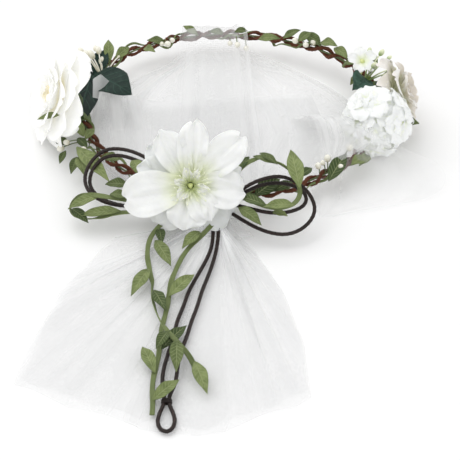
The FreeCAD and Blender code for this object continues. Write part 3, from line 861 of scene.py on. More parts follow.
# ---- leaves --------------------------------------------------------------
@dataclass(frozen=True)
class Leaf:
    """A fabric leaf from foot to tip, in millimetres."""

    foot: tuple[float, float, float]
    tip: tuple[float, float, float]
    width: float
    tone: float = 0.6
    bow: float = 1.6
    fold: float = 0.35
    face: tuple[float, float, float] = (0.0, -0.35, 0.94)
    teeth: float = 0.0
    belly: float = 0.47

    def grid(self, rng: np.random.Generator, rows: int = 19, columns: int = 9) -> np.ndarray:
        """Points of the leaf in metres.

        Args:
            rng: seeded source of small waves.
            rows: rows from foot to tip.
            columns: columns across.

        Returns:
            A grid of points.
        """
        foot, tip = np.asarray(self.foot), np.asarray(self.tip)
        along = unit(tip - foot)
        face = unit(np.asarray(self.face) - along * (np.asarray(self.face) @ along))
        side = np.cross(along, face)
        length = np.linalg.norm(tip - foot)
        share = np.linspace(0, 1, rows)
        power = math.log(0.5) / math.log(self.belly)
        half = self.width / 2 * np.sin(np.pi * np.clip(share, 0.004, 0.996) ** power) ** 0.95
        half = np.maximum(half * (1 - 0.2 * share ** 3), 0.25 * (1 - share) + 0.05)
        if self.teeth:
            half = half * (1 + self.teeth * (np.abs((share * 9) % 1 - 0.5) * 2 - 0.5))
        u, v = np.meshgrid(share, np.linspace(-1, 1, columns), indexing="ij")
        phase = rng.uniform(0, 6, 2)
        width = half[:, None] * v
        rise = np.abs(v) * half[:, None] * self.fold
        rise = rise + 0.05 * self.width * np.abs(v) * np.sin(TURN * 2.1 * u + phase[0] + 0.8 * v)
        rise = rise + 0.10 * np.sin(TURN * (8 * u - 1.6 * np.abs(v))) * np.abs(v) ** 0.5
        rise = rise + self.bow * 4 * u * (1 - u)
        return (foot + along * (length * u[..., None]) + side * width[..., None]
                + face * rise[..., None]) * MM


def add_leaves(sheaf: Sheaf, leaves: Iterable[Leaf], rng: np.random.Generator) -> None:
    """Add leaves to a sheaf."""
    for leaf in leaves:
        sheaf.add(leaf.grid(rng), tone=leaf.tone)


def leaf_rows(rows: Iterable[tuple[float, ...]], face: tuple[float, float, float]) -> list[Leaf]:
    """Leaves that turn their upper side the same way.

    Args:
        rows: the foot's and the tip's three numbers, the width and the tone of each leaf.
        face: what their upper side leans to.

    Returns:
        The leaves, in the rows' order.
    """
    return [Leaf(row[:3], row[3:6], row[6], row[7], face=face) for row in rows]


# ---- repeating pieces ----------------------------------------------------
class Scatter:
    """Geometry Nodes that set one small piece on every seat, each turned and sized a little apart."""

    def __init__(self, name: str) -> None:
        """Build the node group.

        Args:
            name: name of the group.
        """
        self.group = bpy.data.node_groups.new(name, "GeometryNodeTree")
        sockets = self.group.interface
        self.keys = {}
        for label, kind in (("Seats", "NodeSocketGeometry"), ("Piece", "NodeSocketObject"),
                ("Seed", "NodeSocketInt"),
                ("Smallest", "NodeSocketFloat"), ("Largest", "NodeSocketFloat"),
                ("Spin", "NodeSocketFloat"), ("Finish", "NodeSocketMaterial")):
            self.keys[label] = sockets.new_socket(name=label, in_out="INPUT", socket_type=kind).identifier
        sockets.new_socket(name="Result", in_out="OUTPUT", socket_type="NodeSocketGeometry")
        self._wire()

    def _add(self, kind: str, settings: dict[str, Any] | None = None,
             inputs: dict[Any, Any] | None = None) -> Any:
        """Add a node, with its settings and its inputs as values or output sockets."""
        made = self.group.nodes.new(kind)
        for key, value in (settings or {}).items():
            setattr(made, key, value)
        for key, value in (inputs or {}).items():
            if isinstance(value, bpy.types.NodeSocket):
                self.group.links.new(value, made.inputs[key])
            else:
                made.inputs[key].default_value = value
        return made

    def _wire(self) -> None:
        """Join the nodes from the seats to the finished mesh."""
        given = self._add("NodeGroupInput").outputs
        way = self._add("GeometryNodeInputNamedAttribute", {"data_type": "FLOAT_VECTOR"}, {"Name": "way"})
        lean = self._add("FunctionNodeAlignRotationToVector", {"axis": "Z"},
                {"Vector": way.outputs["Attribute"]})
        size = self._add("FunctionNodeRandomValue", {"data_type": "FLOAT"})
        self.group.links.new(given["Smallest"], size.inputs[2])
        self.group.links.new(given["Largest"], size.inputs[3])
        self.group.links.new(given["Seed"], size.inputs["Seed"])
        piece = self._add("GeometryNodeObjectInfo", {}, {"Object": given["Piece"]})
        spread = self._add("GeometryNodeInstanceOnPoints", {}, {
            "Points": given["Seats"], "Instance": piece.outputs["Geometry"],
            "Rotation": lean.outputs["Rotation"], "Scale": size.outputs[1]})
        spin = self._add("FunctionNodeRandomValue", {"data_type": "FLOAT"})
        self.group.links.new(given["Spin"], spin.inputs[3])
        self.group.links.new(given["Seed"], spin.inputs["Seed"])
        turn = self._add("ShaderNodeCombineXYZ", {}, {"Z": spin.outputs[1]})
        turned = self._add("GeometryNodeRotateInstances", {}, {
            "Instances": spread.outputs["Instances"], "Rotation": turn.outputs["Vector"],
            "Local Space": True})
        solid = self._add("GeometryNodeRealizeInstances", {}, {"Geometry": turned.outputs["Instances"]})
        dressed = self._add("GeometryNodeSetMaterial", {}, {
            "Geometry": solid.outputs["Geometry"], "Material": given["Finish"]})
        self._add("NodeGroupOutput", {}, {"Result": dressed.outputs["Geometry"]})

    def spread(self, name: str, seats: np.ndarray, ways: np.ndarray, piece: bpy.types.Object,
               finish: bpy.types.Material, sizes: tuple[float, float] = (0.9, 1.1), spin: float = ROUGH_TURN,
               seed: int = 1) -> bpy.types.Object:
        """Set the piece on the seats and give the plain mesh object.

        Args:
            name: the new object's name.
            seats: points in metres.
            ways: the direction each piece's +Z points to.
            piece: the small piece, which is removed afterwards.
            finish: the material.
            sizes: smallest and largest scale.
            spin: largest turn about the piece's own axis, in radians.
            seed: the random seed.

        Returns:
            The object, with no modifier.
        """
        mesh = bpy.data.meshes.new(name + ".seats")
        mesh.from_pydata(seats.tolist(), [], [])
        way = mesh.attributes.new("way", "FLOAT_VECTOR", "POINT")
        way.data.foreach_set("vector", np.asarray(ways, np.float32).ravel())
        holder = linked(name + ".seats", mesh)
        modifier = holder.modifiers.new("scatter", "NODES")
        modifier.node_group = self.group
        for label, value in (("Piece", piece), ("Seed", seed), ("Smallest", sizes[0]), ("Largest", sizes[1]),
                ("Spin", spin), ("Finish", finish)):
            modifier[self.keys[label]] = value
        graph = bpy.context.evaluated_depsgraph_get()
        made = bpy.data.meshes.new_from_object(holder.evaluated_get(graph))
        made.name = name
        made.polygons.foreach_set("use_smooth", [True] * len(made.polygons))
        result = linked(name, made)
        for extra in (holder, piece):
            bpy.data.objects.remove(extra)
        return result


# ---- the vine ------------------------------------------------------------
@dataclass
class VineRing:
    """The twisted vine ring with its wound leaf ribbon, berries and tape."""

    half_width: float = 97.0
    half_depth: float = 85.0
    height: float = 11.5
    tilt: float = 2.0
    turns: int = 21
    strand_radius: float = 1.2
    lay_radius: float = 2.2
    palette: Palette = field(kw_only=True)

    def point(self, angle_deg: np.ndarray | float) -> np.ndarray:
        """Centreline of the ring in millimetres at an angle."""
        angle = np.radians(angle_deg)
        swell = 1 + 0.02 * np.sin(3 * angle + 0.6)
        return np.stack([self.half_width * swell * np.cos(angle), self.half_depth * swell * np.sin(angle),
                self.height + self.tilt * np.sin(angle)], axis=-1)

    def wound(self, start: float, sweep: float, turns: float, radius: float, phase: float, count: int,
              wander: float = 0.0, seed: int = 0) -> np.ndarray:
        """A line wound round the ring, in metres.

        Args:
            start: first angle round the ring, in degrees.
            sweep: how far it goes.
            turns: times it goes round the centreline.
            radius: distance from the centreline.
            phase: where it starts, in degrees.
            count: points.
            wander: how unevenly it lies.
            seed: seed of the wander.

        Returns:
            Points in metres.
        """
        share = np.linspace(0, 1, count)
        angle = start + sweep * share
        rng = np.random.default_rng(seed)
        phases = rng.uniform(0, ROUGH_TURN, 4)
        uneven = sum(np.sin(TURN * share * k + p) / 2 for k, p in zip((5, 9, 17, 31), phases))
        lay = np.radians(phase + 360 * turns * share) + wander * uneven
        reach = radius * (1 + 0.35 * wander * np.sin(TURN * 23 * share + phases[0]))
        outward = np.stack([np.cos(np.radians(angle)), np.sin(np.radians(angle)), 0 * angle], axis=-1)
        line = self.point(angle) + outward * (reach * np.cos(lay))[:, None]
        line[:, 2] += reach * np.sin(lay)
        return line * MM

    def _strand(self, name: str, node: str, phase: float, seed: int) -> None:
        """One rough strand with knuckles along it.

        Args:
            name: the object's name.
            node: the CAD node it stands for.
            phase: where its lay starts, in degrees.
            seed: seed of its roughness.
        """
        line = self.wound(-98, 352, self.turns, self.lay_radius, phase, 900, 0.5, seed)
        rng = np.random.default_rng(seed)
        _, sides, normals = frames_along(line)
        turn = np.linspace(0, TURN, STRAND_SIDES, endpoint=False)
        share = np.linspace(0, 1, len(line))[:, None]
        rough = 1 + 0.16 * np.sin(TURN * 61 * share + 2 * turn + seed)
        rough = rough + 0.10 * rng.standard_normal((len(line), STRAND_SIDES))
        rough = rough * (1 + 0.12 * np.sin(TURN * 19 * share + seed))
        sheaf = Sheaf()
        sheaf.add(tube(line, sides, normals, turn, self.strand_radius * MM * rough), wrap=True, capped=True)
        settle(sheaf.piece(name, self.palette.vine), "root", [node])

    def _ribbon(self) -> None:
        """The green ribbon wound round the vine."""
        sheaf = Sheaf()
        line = self.wound(-96, 346, 13, 3.9, 200, 620, 0.8, 11)
        sheaf.add(ribbon_grid(line, 1.7 * MM, twist=9.0), tone=0.5)
        settle(sheaf.piece("ring_leaf_ribbon_band", self.palette.ribbon, PETAL_CLOTH), "root",
               ["ring_leaf_ribbon"])

    def _berries(self) -> None:
        """Berries on wire stems along the vine."""
        rng = np.random.default_rng(21)
        places = [(61, -61, 19, 2.2, -50), (55, -66, 17, 2.0, -54), (75, -54, 22, 2.1, -42),
                  (69, -68, 18, 1.8, -44),
                  (58, -63, 17, 1.5, -51), (44, 67, 20, 2.1, 57), (51, 62, 20, 1.9, 52),
                  (56, 66, 19, 1.8, 50),
                  (5, 62, 20, 2.0, 88), (11, 65, 15, 1.9, 84), (0, 68, 17, 1.8, 90), (-42, 63, 20, 2.2, 118),
                  (-39, 69, 19, 1.8, 116), (-46, 66, 18, 1.6, 121), (-104, -38, 14, 1.9, 205),
                  (-108, -38, 9, 2.2, 204), (-101, -30, 19, 1.8, 199), (-92, -50, 18, 1.6, 214)]
        berries, stems = Sheaf(), Sheaf()
        for x, y, z, radius, angle in places:
            centre = mm(x, y, z)
            foot = self.point(angle) * MM
            berries.add(blob(centre, mm(radius, radius * 1.15), rng, centre - foot), wrap=True, capped=True)
            stems.add(stalk(bowed(foot, centre, mm(0, 0, 2.5)), 0.35 * MM), wrap=True, capped=True)
        settle(berries.piece("vine_berries", self.palette.ivory), "root", ["berries"])
        settle(stems.piece("vine_berry_stems", self.palette.iron), "root", ["berry_stems"])

    def _leaves(self) -> None:
        """Leaves of the wound ribbon."""
        sheaf = Sheaf()
        rng = np.random.default_rng(31)
        up = (0.0, -0.45, 0.9)
        leaves = (
            (3, 77, 20, 12, 80, 19, 5.0, 0.35), (19, 70, 19, 34, 65, 23, 6.5, 0.75),
            (36, 74, 17, 48, 77, 22, 5.5, 0.5), (46, 66, 20, 55, 71, 24, 6.5, 0.6),
            (50, 72, 22, 62, 68, 15, 8.5, 0.45), (61, 66, 19, 72, 56, 23, 7.5, 0.7),
            (70, 60, 19, 79, 48, 18, 7.5, 0.85), (76, 46, 16, 85, 38, 21, 6.0, 0.5),
            (-4, 84, 14, -15, 80, 18, 5.5, 0.5), (-22, 79, 16, -32, 86, 19, 5.5, 0.7),
            (-44, 71, 15, -56, 66, 21, 6.5, 0.55), (-58, 62, 17, -50, 55, 19, 6.0, 0.8),
            (-105, -27, 12, -115, -20, 8, 7.0, 0.55), (-102, -38, 12, -112, -29, 8, 6.5, 0.3),
            (-93, -36, 17, -99, -26, 23, 7.0, 0.8), (-100, -30, 15, -108, -23, 14, 5.5, 0.2),
            (-90, -48, 17, -97, -38, 17, 6.0, 0.15), (-97, -47, 17, -74, -87, 21, 10.5, 0.95),
            (-96, -53, 14, -100, -63, 8, 6.0, 0.35), (-94, -56, 17, -90, -76, 17, 9.0, 0.8),
            (-104, -44, 12, -108, -50, 6, 4.5, 0.3), (-92, -40, 18, -86, -32, 20, 6.0, 0.75),
            (15, -96, 17, 31, -84, 21, 11.0, 0.0), (27, -91, 17, 39, -86, 20, 6.5, 0.2),
            (61, -78, 14, 73, -56, 19, 10.0, 0.05), (44, -78, 18, 51, -71, 19, 5.5, 0.15),
            (4, -96, 18, -2, -84, 22, 8.0, 0.0), (76, -62, 15, 85, -52, 12, 8.0, 0.85),
            (84, 30, 14, 79, 20, 17, 6.0, 0.6),
        )
        add_leaves(sheaf, leaf_rows(leaves, up), rng)
        settle(sheaf.piece("ring_ribbon_leaves", self.palette.sage, LEAF_CLOTH, 1), "root",
               ["ring_leaves"])

    def build(self) -> None:
        """Build the ring."""
        self._strand("vine_strand_first", "vine_strand_a", 0, 3)
        self._strand("vine_strand_second", "vine_strand_b", 180, 7)
        self._ribbon()
        self._berries()
        self._leaves()
        dress_node("core_wire", self.palette.iron)
        dress_node("floral_tape_wraps", self.palette.tape)


def dress_node(node: str, finish: bpy.types.Material) -> None:
    """Give a CAD node that stays its material.

    Args:
        node: the CAD node's name.
        finish: its material.
    """
    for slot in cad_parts[node].material_slots:
        slot.material = finish


def ribbon_grid(line: np.ndarray, width: float, twist: float = 0.0, columns: int = 5,
        up: Point = (0, 0, 1), edge_on: tuple[float, float] | None = None) -> np.ndarray:
    """A flat band along a line, slightly dished, that may turn as it goes.

    Args:
        line: points in metres.
        width: width of the band in metres.
        twist: times it turns over its length.
        columns: points across.
        up: what its face leans to.
        edge_on: shares of its length between which it stands on its edge.

    Returns:
        A grid of points.
    """
    tangents = np.gradient(line, axis=0)
    tangents /= np.linalg.norm(tangents, axis=1)[:, None]
    if twist:
        _, sides, normals = frames_along(line, up)
    else:
        sides = np.cross(tangents, np.asarray(up, float))
        sides /= np.linalg.norm(sides, axis=1)[:, None]
        normals = np.cross(sides, tangents)
    along = np.linspace(0, 1, len(line))
    turn = TURN * twist * along + 0.25 * np.sin(TURN * 3 * along)
    if edge_on:
        low, high = edge_on
        turn = turn + 1.35 * smoothstep(low - 0.06, low, along) * (1 - smoothstep(high, high + 0.06, along))
    across = np.cos(turn)[:, None] * sides + np.sin(turn)[:, None] * normals
    face = -np.sin(turn)[:, None] * sides + np.cos(turn)[:, None] * normals
    share = np.linspace(-0.5, 0.5, columns)
    breadth = width * (0.94 + 0.06 * np.sin(TURN * 9 * along))[:, None, None]
    return (line[:, None, :] + across[:, None, :] * share[None, :, None] * breadth
            + face[:, None, :] * (share ** 2 - 0.08)[None, :, None] * breadth * 0.4)


# ---- cords and leaf ribbons ----------------------------------------------
class Far(Enum):
    """What is on a cord's far end."""

    BARE = "bare"
    OBJECT = "object"


@dataclass(frozen=True)
class CordRun:
    """One free cord or leaf ribbon: its route in millimetres and what it is."""

    name: str
    node: str
    body: str
    route: tuple[tuple[float, float, float], ...]
    far: Far
    edge_on: tuple[float, float] | None = None
    lay: str = "loose"
    diameter: float = 0.0024

    def line(self, spacing: float = 0.0011) -> np.ndarray:
        """Points along the smooth curve of the route."""
        return spline_points([mm(*point) for point in self.route], spacing)

    def rope(self, finish: bpy.types.Material) -> bpy.types.Object:
        """The cord as a laid three-strand tube.

        Args:
            finish: its material.

        Returns:
            The object.
        """
        line = self.line()
        _, sides, normals = frames_along(line, (0.2, 0.3, 0.9))
        turn = np.linspace(0, TURN, ROPE_SIDES, endpoint=False)
        lay = TURN * length_of(line) / ROPE_LAY * np.linspace(0, 1, len(line))
        radius = self.diameter / 2 * (0.96 + 0.07 * np.cos(3 * (turn[None, :] - lay[:, None])))
        sheaf = Sheaf()
        sheaf.add(tube(line, sides, normals, turn, radius), wrap=True, capped=True)
        obj = settle(sheaf.piece(self.name, finish), self.body, [self.node])
        self.declare(obj, line, "medium", ())
        return obj

    def ribbon(self, finish: bpy.types.Material, pieces: Sequence[bpy.types.Object]) -> bpy.types.Object:
        """The leaf ribbon's own narrow band.

        Args:
            finish: its material.
            pieces: the leaf pieces on it.

        Returns:
            The object.
        """
        line = self.line()
        sheaf = Sheaf()
        sheaf.add(ribbon_grid(line, BAND_WIDTH, up=(0.0, -0.35, 0.94), edge_on=self.edge_on), tone=0.6)
        obj = settle(sheaf.piece(self.name, finish, BAND_CLOTH), self.body, [self.node])
        self.declare(obj, line, "limp", pieces)
        return obj

    def declare(self, obj: bpy.types.Object, line: np.ndarray, stiffness: str,
                pieces: Sequence[bpy.types.Object]) -> None:
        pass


LEFT_BOW_OUTER = (
    (-15, -95, 16.5), (-25, -93.8, 16.5), (-35, -88, 23), (-46, -80, 30), (-57, -71, 31),
    (-68, -65, 30), (-78, -63.5, 28), (-86, -70, 24.5), (-90, -81, 21), (-88, -91, 18),
    (-80, -99, 16), (-68, -102.5, 14.5), (-54, -101, 13), (-38, -97.5, 12),
    (-25, -97.5, 11), (-15, -98, 12),
)
LEFT_BOW_INNER = (
    (-15, -93, 13.5), (-25, -90, 13), (-36, -86, 20), (-47, -79, 26), (-57, -73.5, 27),
    (-67, -68, 27), (-76.5, -66.5, 25.2), (-83.3, -71.7, 23), (-87, -80.5, 19.2),
    (-85.6, -89, 16.5), (-78.5, -96, 14.2), (-67.5, -99.6, 12.4), (-54, -98, 10.6),
    (-38, -94, 9), (-25, -93.5, 8.2), (-14.5, -94.5, 9.5),
)
RIGHT_BOW_OUTER = (
    (-3, -96, 18), (3, -100.5, 21), (10, -98.5, 27), (20, -95, 30), (31, -91.5, 29.5),
    (41, -94, 26.5), (49, -99.5, 21.5), (52.5, -108, 15.5), (47, -117, 11), (37, -123, 9),
    (26, -122.5, 9), (15, -118, 10.5), (5, -110.5, 12), (-3.5, -101.5, 11.5),
)
RIGHT_BOW_INNER = (
    (-3, -100, 15.5), (4, -108, 19.5), (13, -112, 20), (22, -113, 18), (31, -112.5, 17),
    (39.5, -110, 17), (45.5, -105.5, 17.5), (47, -99, 18.5), (43.5, -93.5, 20.5),
    (36, -91.5, 23), (27, -92.8, 25), (18, -95.5, 25.2), (9.5, -98.5, 22.5), (2.5, -98.5, 17.5),
    (-2.5, -95, 14),
)
CORD_TAIL = (
    (-11.2, -105.2, 11.2), (-10.4, -111, 8), (-10.2, -119, 5.2), (-11.2, -130, 3.7),
    (-15, -143, 3.6), (-20, -156, 3.6), (-24.5, -169, 3.6), (-27.2, -182, 3.6),
    (-30.8, -195, 3.6), (-32, -208, 3.6), (-35, -221, 3.6), (-37.5, -234, 3.6),
    (-38, -246, 3.6), (-36.4, -255, 3.4), (-36.6, -262, 3.2), (-39, -268.5, 2.7),
    (-39.8, -275, 2.4), (-37.9, -280.2, 2.4), (-34.2, -282, 2.4), (-31.2, -279.2, 2.4),
    (-30, -273.5, 2.4), (-31.2, -267.5, 2.7), (-33.7, -261.5, 3.2), (-33.6, -254.5, 3.4),
    (-30.5, -246, 3.6), (-29.5, -234, 3.6), (-28.8, -221.5, 3.6), (-25, -209, 3.6),
    (-22.4, -195, 3.6), (-19, -181.5, 3.6), (-16.5, -168, 3.6), (-13, -155, 3.6),
    (-10, -142, 3.6), (-8, -130, 3.8), (-7, -119, 5.2), (-7.2, -111, 8.2),
    (-7.8, -105.4, 11.4),
)
LEAF_TAIL_LEFT = (
    (-17, -102.4, 12), (-25, -105.8, 11), (-35, -108.5, 11), (-44, -115, 8.5),
    (-49, -124.5, 6), (-50, -136, 4), (-48, -148, 3.2), (-46, -160, 3.2),
    (-46, -172, 3.4), (-44, -184, 4.6), (-41, -196, 6.6), (-36, -207, 7.8),
    (-30, -216, 7.8), (-24, -223.5, 6), (-20, -231.5, 4), (-18.5, -239.5, 3.2),
)
LEAF_TAIL_RIGHT = (
    (-5, -105.8, 13.2), (-8, -111.5, 11.4), (-15, -119, 7.6), (-22.5, -126.5, 4.9),
    (-28, -135.5, 3.8), (-32, -147, 3), (-35.2, -160, 3.1), (-36, -173.5, 3), (-37.3, -187, 3.1),
    (-39.5, -200, 3), (-40, -212, 3.1), (-40.5, -224, 3), (-42.5, -236, 3.1),
    (-43.5, -248, 3), (-42.5, -259.5, 3.1), (-42.8, -269.5, 3),
)
LEAF_LOOP_LEFT = (
    (-14, -99, 18.5), (-26.5, -101, 14.6), (-38, -102.3, 16), (-49, -104, 18.5),
    (-59, -105.5, 20.8), (-69, -105, 22.3), (-78, -102.5, 22.5), (-87, -98.5, 20.5),
    (-94.5, -94.5, 15), (-99, -97.5, 9), (-96.5, -104.5, 8), (-89, -108.8, 9),
    (-80, -110, 11), (-70.5, -108.8, 14), (-60, -109.5, 15.5), (-49, -108.5, 15.2),
    (-37, -106.3, 15), (-24.5, -104, 14.4), (-12.5, -102, 16),
)
LEAF_LOOP_RIGHT = (
    (-5.5, -92.5, 18.5), (1, -88.5, 24.5), (7, -83, 29.5), (14, -78.5, 32), (22, -78.5, 32.2),
    (29, -82.5, 32.6), (35.5, -89, 33), (41, -97, 30.5), (43, -105.5, 26), (39, -111.5, 23),
    (31, -113.5, 21.8), (22, -112.5, 22), (13, -108.5, 23.6), (5, -103.5, 24),
    (-1, -99.5, 23), (-6, -97.5, 21),
)


@dataclass
class BowAndTails:
    """The waxed-cord bow, the leaf ribbon tied with it, their knot and the hanging tails."""

    palette: Palette
    ribbon_width: float = 0.0026

    def cords(self) -> None:
        """The five runs of waxed cord."""
        for run in (
                CordRun("bow_left_outer_cord", "bow_left_outer", "root", LEFT_BOW_OUTER, Far.OBJECT),
                CordRun("bow_left_inner_cord", "bow_left_inner", "root", LEFT_BOW_INNER, Far.OBJECT),
                CordRun("bow_right_outer_cord", "bow_right_outer", "root", RIGHT_BOW_OUTER, Far.OBJECT),
                CordRun("bow_right_inner_cord", "bow_right_inner", "root", RIGHT_BOW_INNER, Far.OBJECT),
                CordRun("doubled_cord_tail", "cord_tail", "tails", CORD_TAIL, Far.OBJECT)):
            run.rope(self.palette.cord)

    def _leaf_piece(self, name: str, body: str, node: str, leaves: Sequence[Leaf],
            seed: int) -> bpy.types.Object:
        """The leaves of one ribbon as one object.

        Args:
            name: the object's name.
            body: the body they ride on.
            node: the CAD node they stand for.
            leaves: the leaves.
            seed: seed of their waves.

        Returns:
            The object.
        """
        sheaf = Sheaf()
        add_leaves(sheaf, leaves, np.random.default_rng(seed))
        return settle(sheaf.piece(name, self.palette.sage, LEAF_CLOTH, 1), body, [node])

    def ribbons(self) -> None:
        """The four runs of leaf ribbon with their leaves."""
        up = (0.0, -0.3, 0.95)
        tail_left = (
            (-43, -115, 7, -41, -128, 5.5, 6.5, 0.15), (-45, -126, 7, -35, -149, 6, 8.5, 0.65),
            (-48, -150, 5, -58, -174, 5, 8.5, 0.8), (-45, -169, 5, -37, -189, 6.5, 7.5, 0.2),
            (-35, -209, 9.5, -42, -222, 7.5, 7.0, 0.3), (-30, -216, 9.5, -30, -241, 8, 8.5, 0.5),
            (-20, -230, 5.5, -12.5, -256, 5.5, 8.5, 0.9),
        )
        tail_right = (
            (-18, -119, 8, -29, -132, 5.5, 7.5, 0.75), (-36, -174, 4.5, -21, -156, 6, 8.5, 0.85),
            (-39, -219, 4.5, -25, -199, 4.4, 8.0, 0.1), (-42, -238, 4.5, -50, -217, 5, 8.0, 0.85),
            (-43, -260, 4.4, -28, -247, 8, 8.0, 0.75),
        )
        loop_left = (
            (-79, -100, 21, -99, -105, 14, 7.5, 0.75), (-97, -101, 11, -86, -113, 9.5, 7.0, 0.1),
            (-66, -109, 16, -92, -108, 11, 7.5, 0.7), (-73, -103, 24, -60, -105, 23, 6.5, 0.45),
            (-69, -61, 18, -81, -62, 20, 7.5, 0.6), (-60, -73, 27, -53, -92, 27, 8.5, 0.8),
            (-62, -88, 19, -77, -86, 18, 7.5, 0.35),
        )
        loop_right = (
            (29, -86, 34, 14, -77, 33, 5.5, 0.45), (29, -87, 34.5, 18, -75, 34, 5.0, 0.35),
            (12, -75, 31, 2, -87, 27, 6.0, 0.0), (42, -107, 32, 37, -77, 38, 10.5, 1.0),
            (39, -114, 24.5, 20, -115, 24, 7.5, 0.9), (22, -114, 24, 4, -104, 23, 7.0, 0.3),
            (5, -111, 20.5, 19, -124, 17, 8.0, 0.55), (25, -113, 18, 35, -114, 16, 5.0, 0.8),
        )
        plan = (("leaf_tail_left", "tails", LEAF_TAIL_LEFT, tail_left, Far.BARE, 41),
                ("leaf_tail_right", "tails", LEAF_TAIL_RIGHT, tail_right, Far.BARE, 42),
                ("leaf_loop_left", "root", LEAF_LOOP_LEFT, loop_left, Far.OBJECT, 43),
                ("leaf_loop_right", "root", LEAF_LOOP_RIGHT, loop_right, Far.OBJECT, 44))
        for node, body, route, leaves, far, seed in plan:
            piece = self._leaf_piece(node + "_foliage", body, node + "_leaves", leaf_rows(leaves, up), seed)
            edge_on = {"leaf_tail_left": (0.50, 0.70), "leaf_loop_left": (0.46, 0.60),
                       "leaf_loop_right": (0.26, 0.40)}.get(node)
            run = CordRun(node + "_band", node, body, route, far, edge_on, diameter=self.ribbon_width)
            run.ribbon(self.palette.ribbon, [piece])

    def knots(self) -> None:
        """The wrapped knot of the bow and the whipping on the doubled tail."""
        low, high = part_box("bow_knot")
        centre = (np.array(low) + np.array(high)) / 2
        sheaf = Sheaf()
        for index, (tilt, lift) in enumerate(((0.2, -3.2), (-0.25, -0.6), (0.1, 2.2), (1.35, 0.4),
                (1.75, -1.6))):
            turn = np.linspace(0, TURN, 60)
            around = np.array([math.cos(tilt), 0.15, math.sin(tilt)])
            other = np.array([0.0, 1.0, 0.1])
            axis = np.cross(around, other)
            radius = (6.1 - 0.5 * abs(index - 2)) * MM
            line = centre + axis * lift * MM + radius * (np.cos(turn)[:, None] * around
                    + np.sin(turn)[:, None] * other)
            sheaf.add(stalk(line, 1.0 * MM, columns=10), wrap=True)
        sheaf.add(blob(centre, (0.0052, 0.0050), np.random.default_rng(5)), wrap=True, capped=True)
        settle(sheaf.piece("bow_knot_wraps", self.palette.cord), "root", ["bow_knot"])
        low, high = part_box("tail_knot")
        centre = (np.array(low) + np.array(high)) / 2
        half = (np.array(high) - np.array(low)) / 2
        turn = np.linspace(0, TURN * 3, 160)
        along = np.linspace(-0.45, 0.45, 160) * half[1]
        line = np.stack([centre[0] + (half[0] - 0.0007) * np.cos(turn), centre[1] + along,
                centre[2] + (half[2] - 0.0006) * np.sin(turn)], axis=1)
        whipping = Sheaf()
        whipping.add(stalk(line, 0.0007, columns=8), wrap=True, capped=True)
        whipping.add(blob(centre, (0.0018, half[1] * 0.5), np.random.default_rng(6), (0, 1, 0)), wrap=True,
                capped=True)
        settle(whipping.piece("tail_whipping", self.palette.cord), "tails", ["tail_knot"])


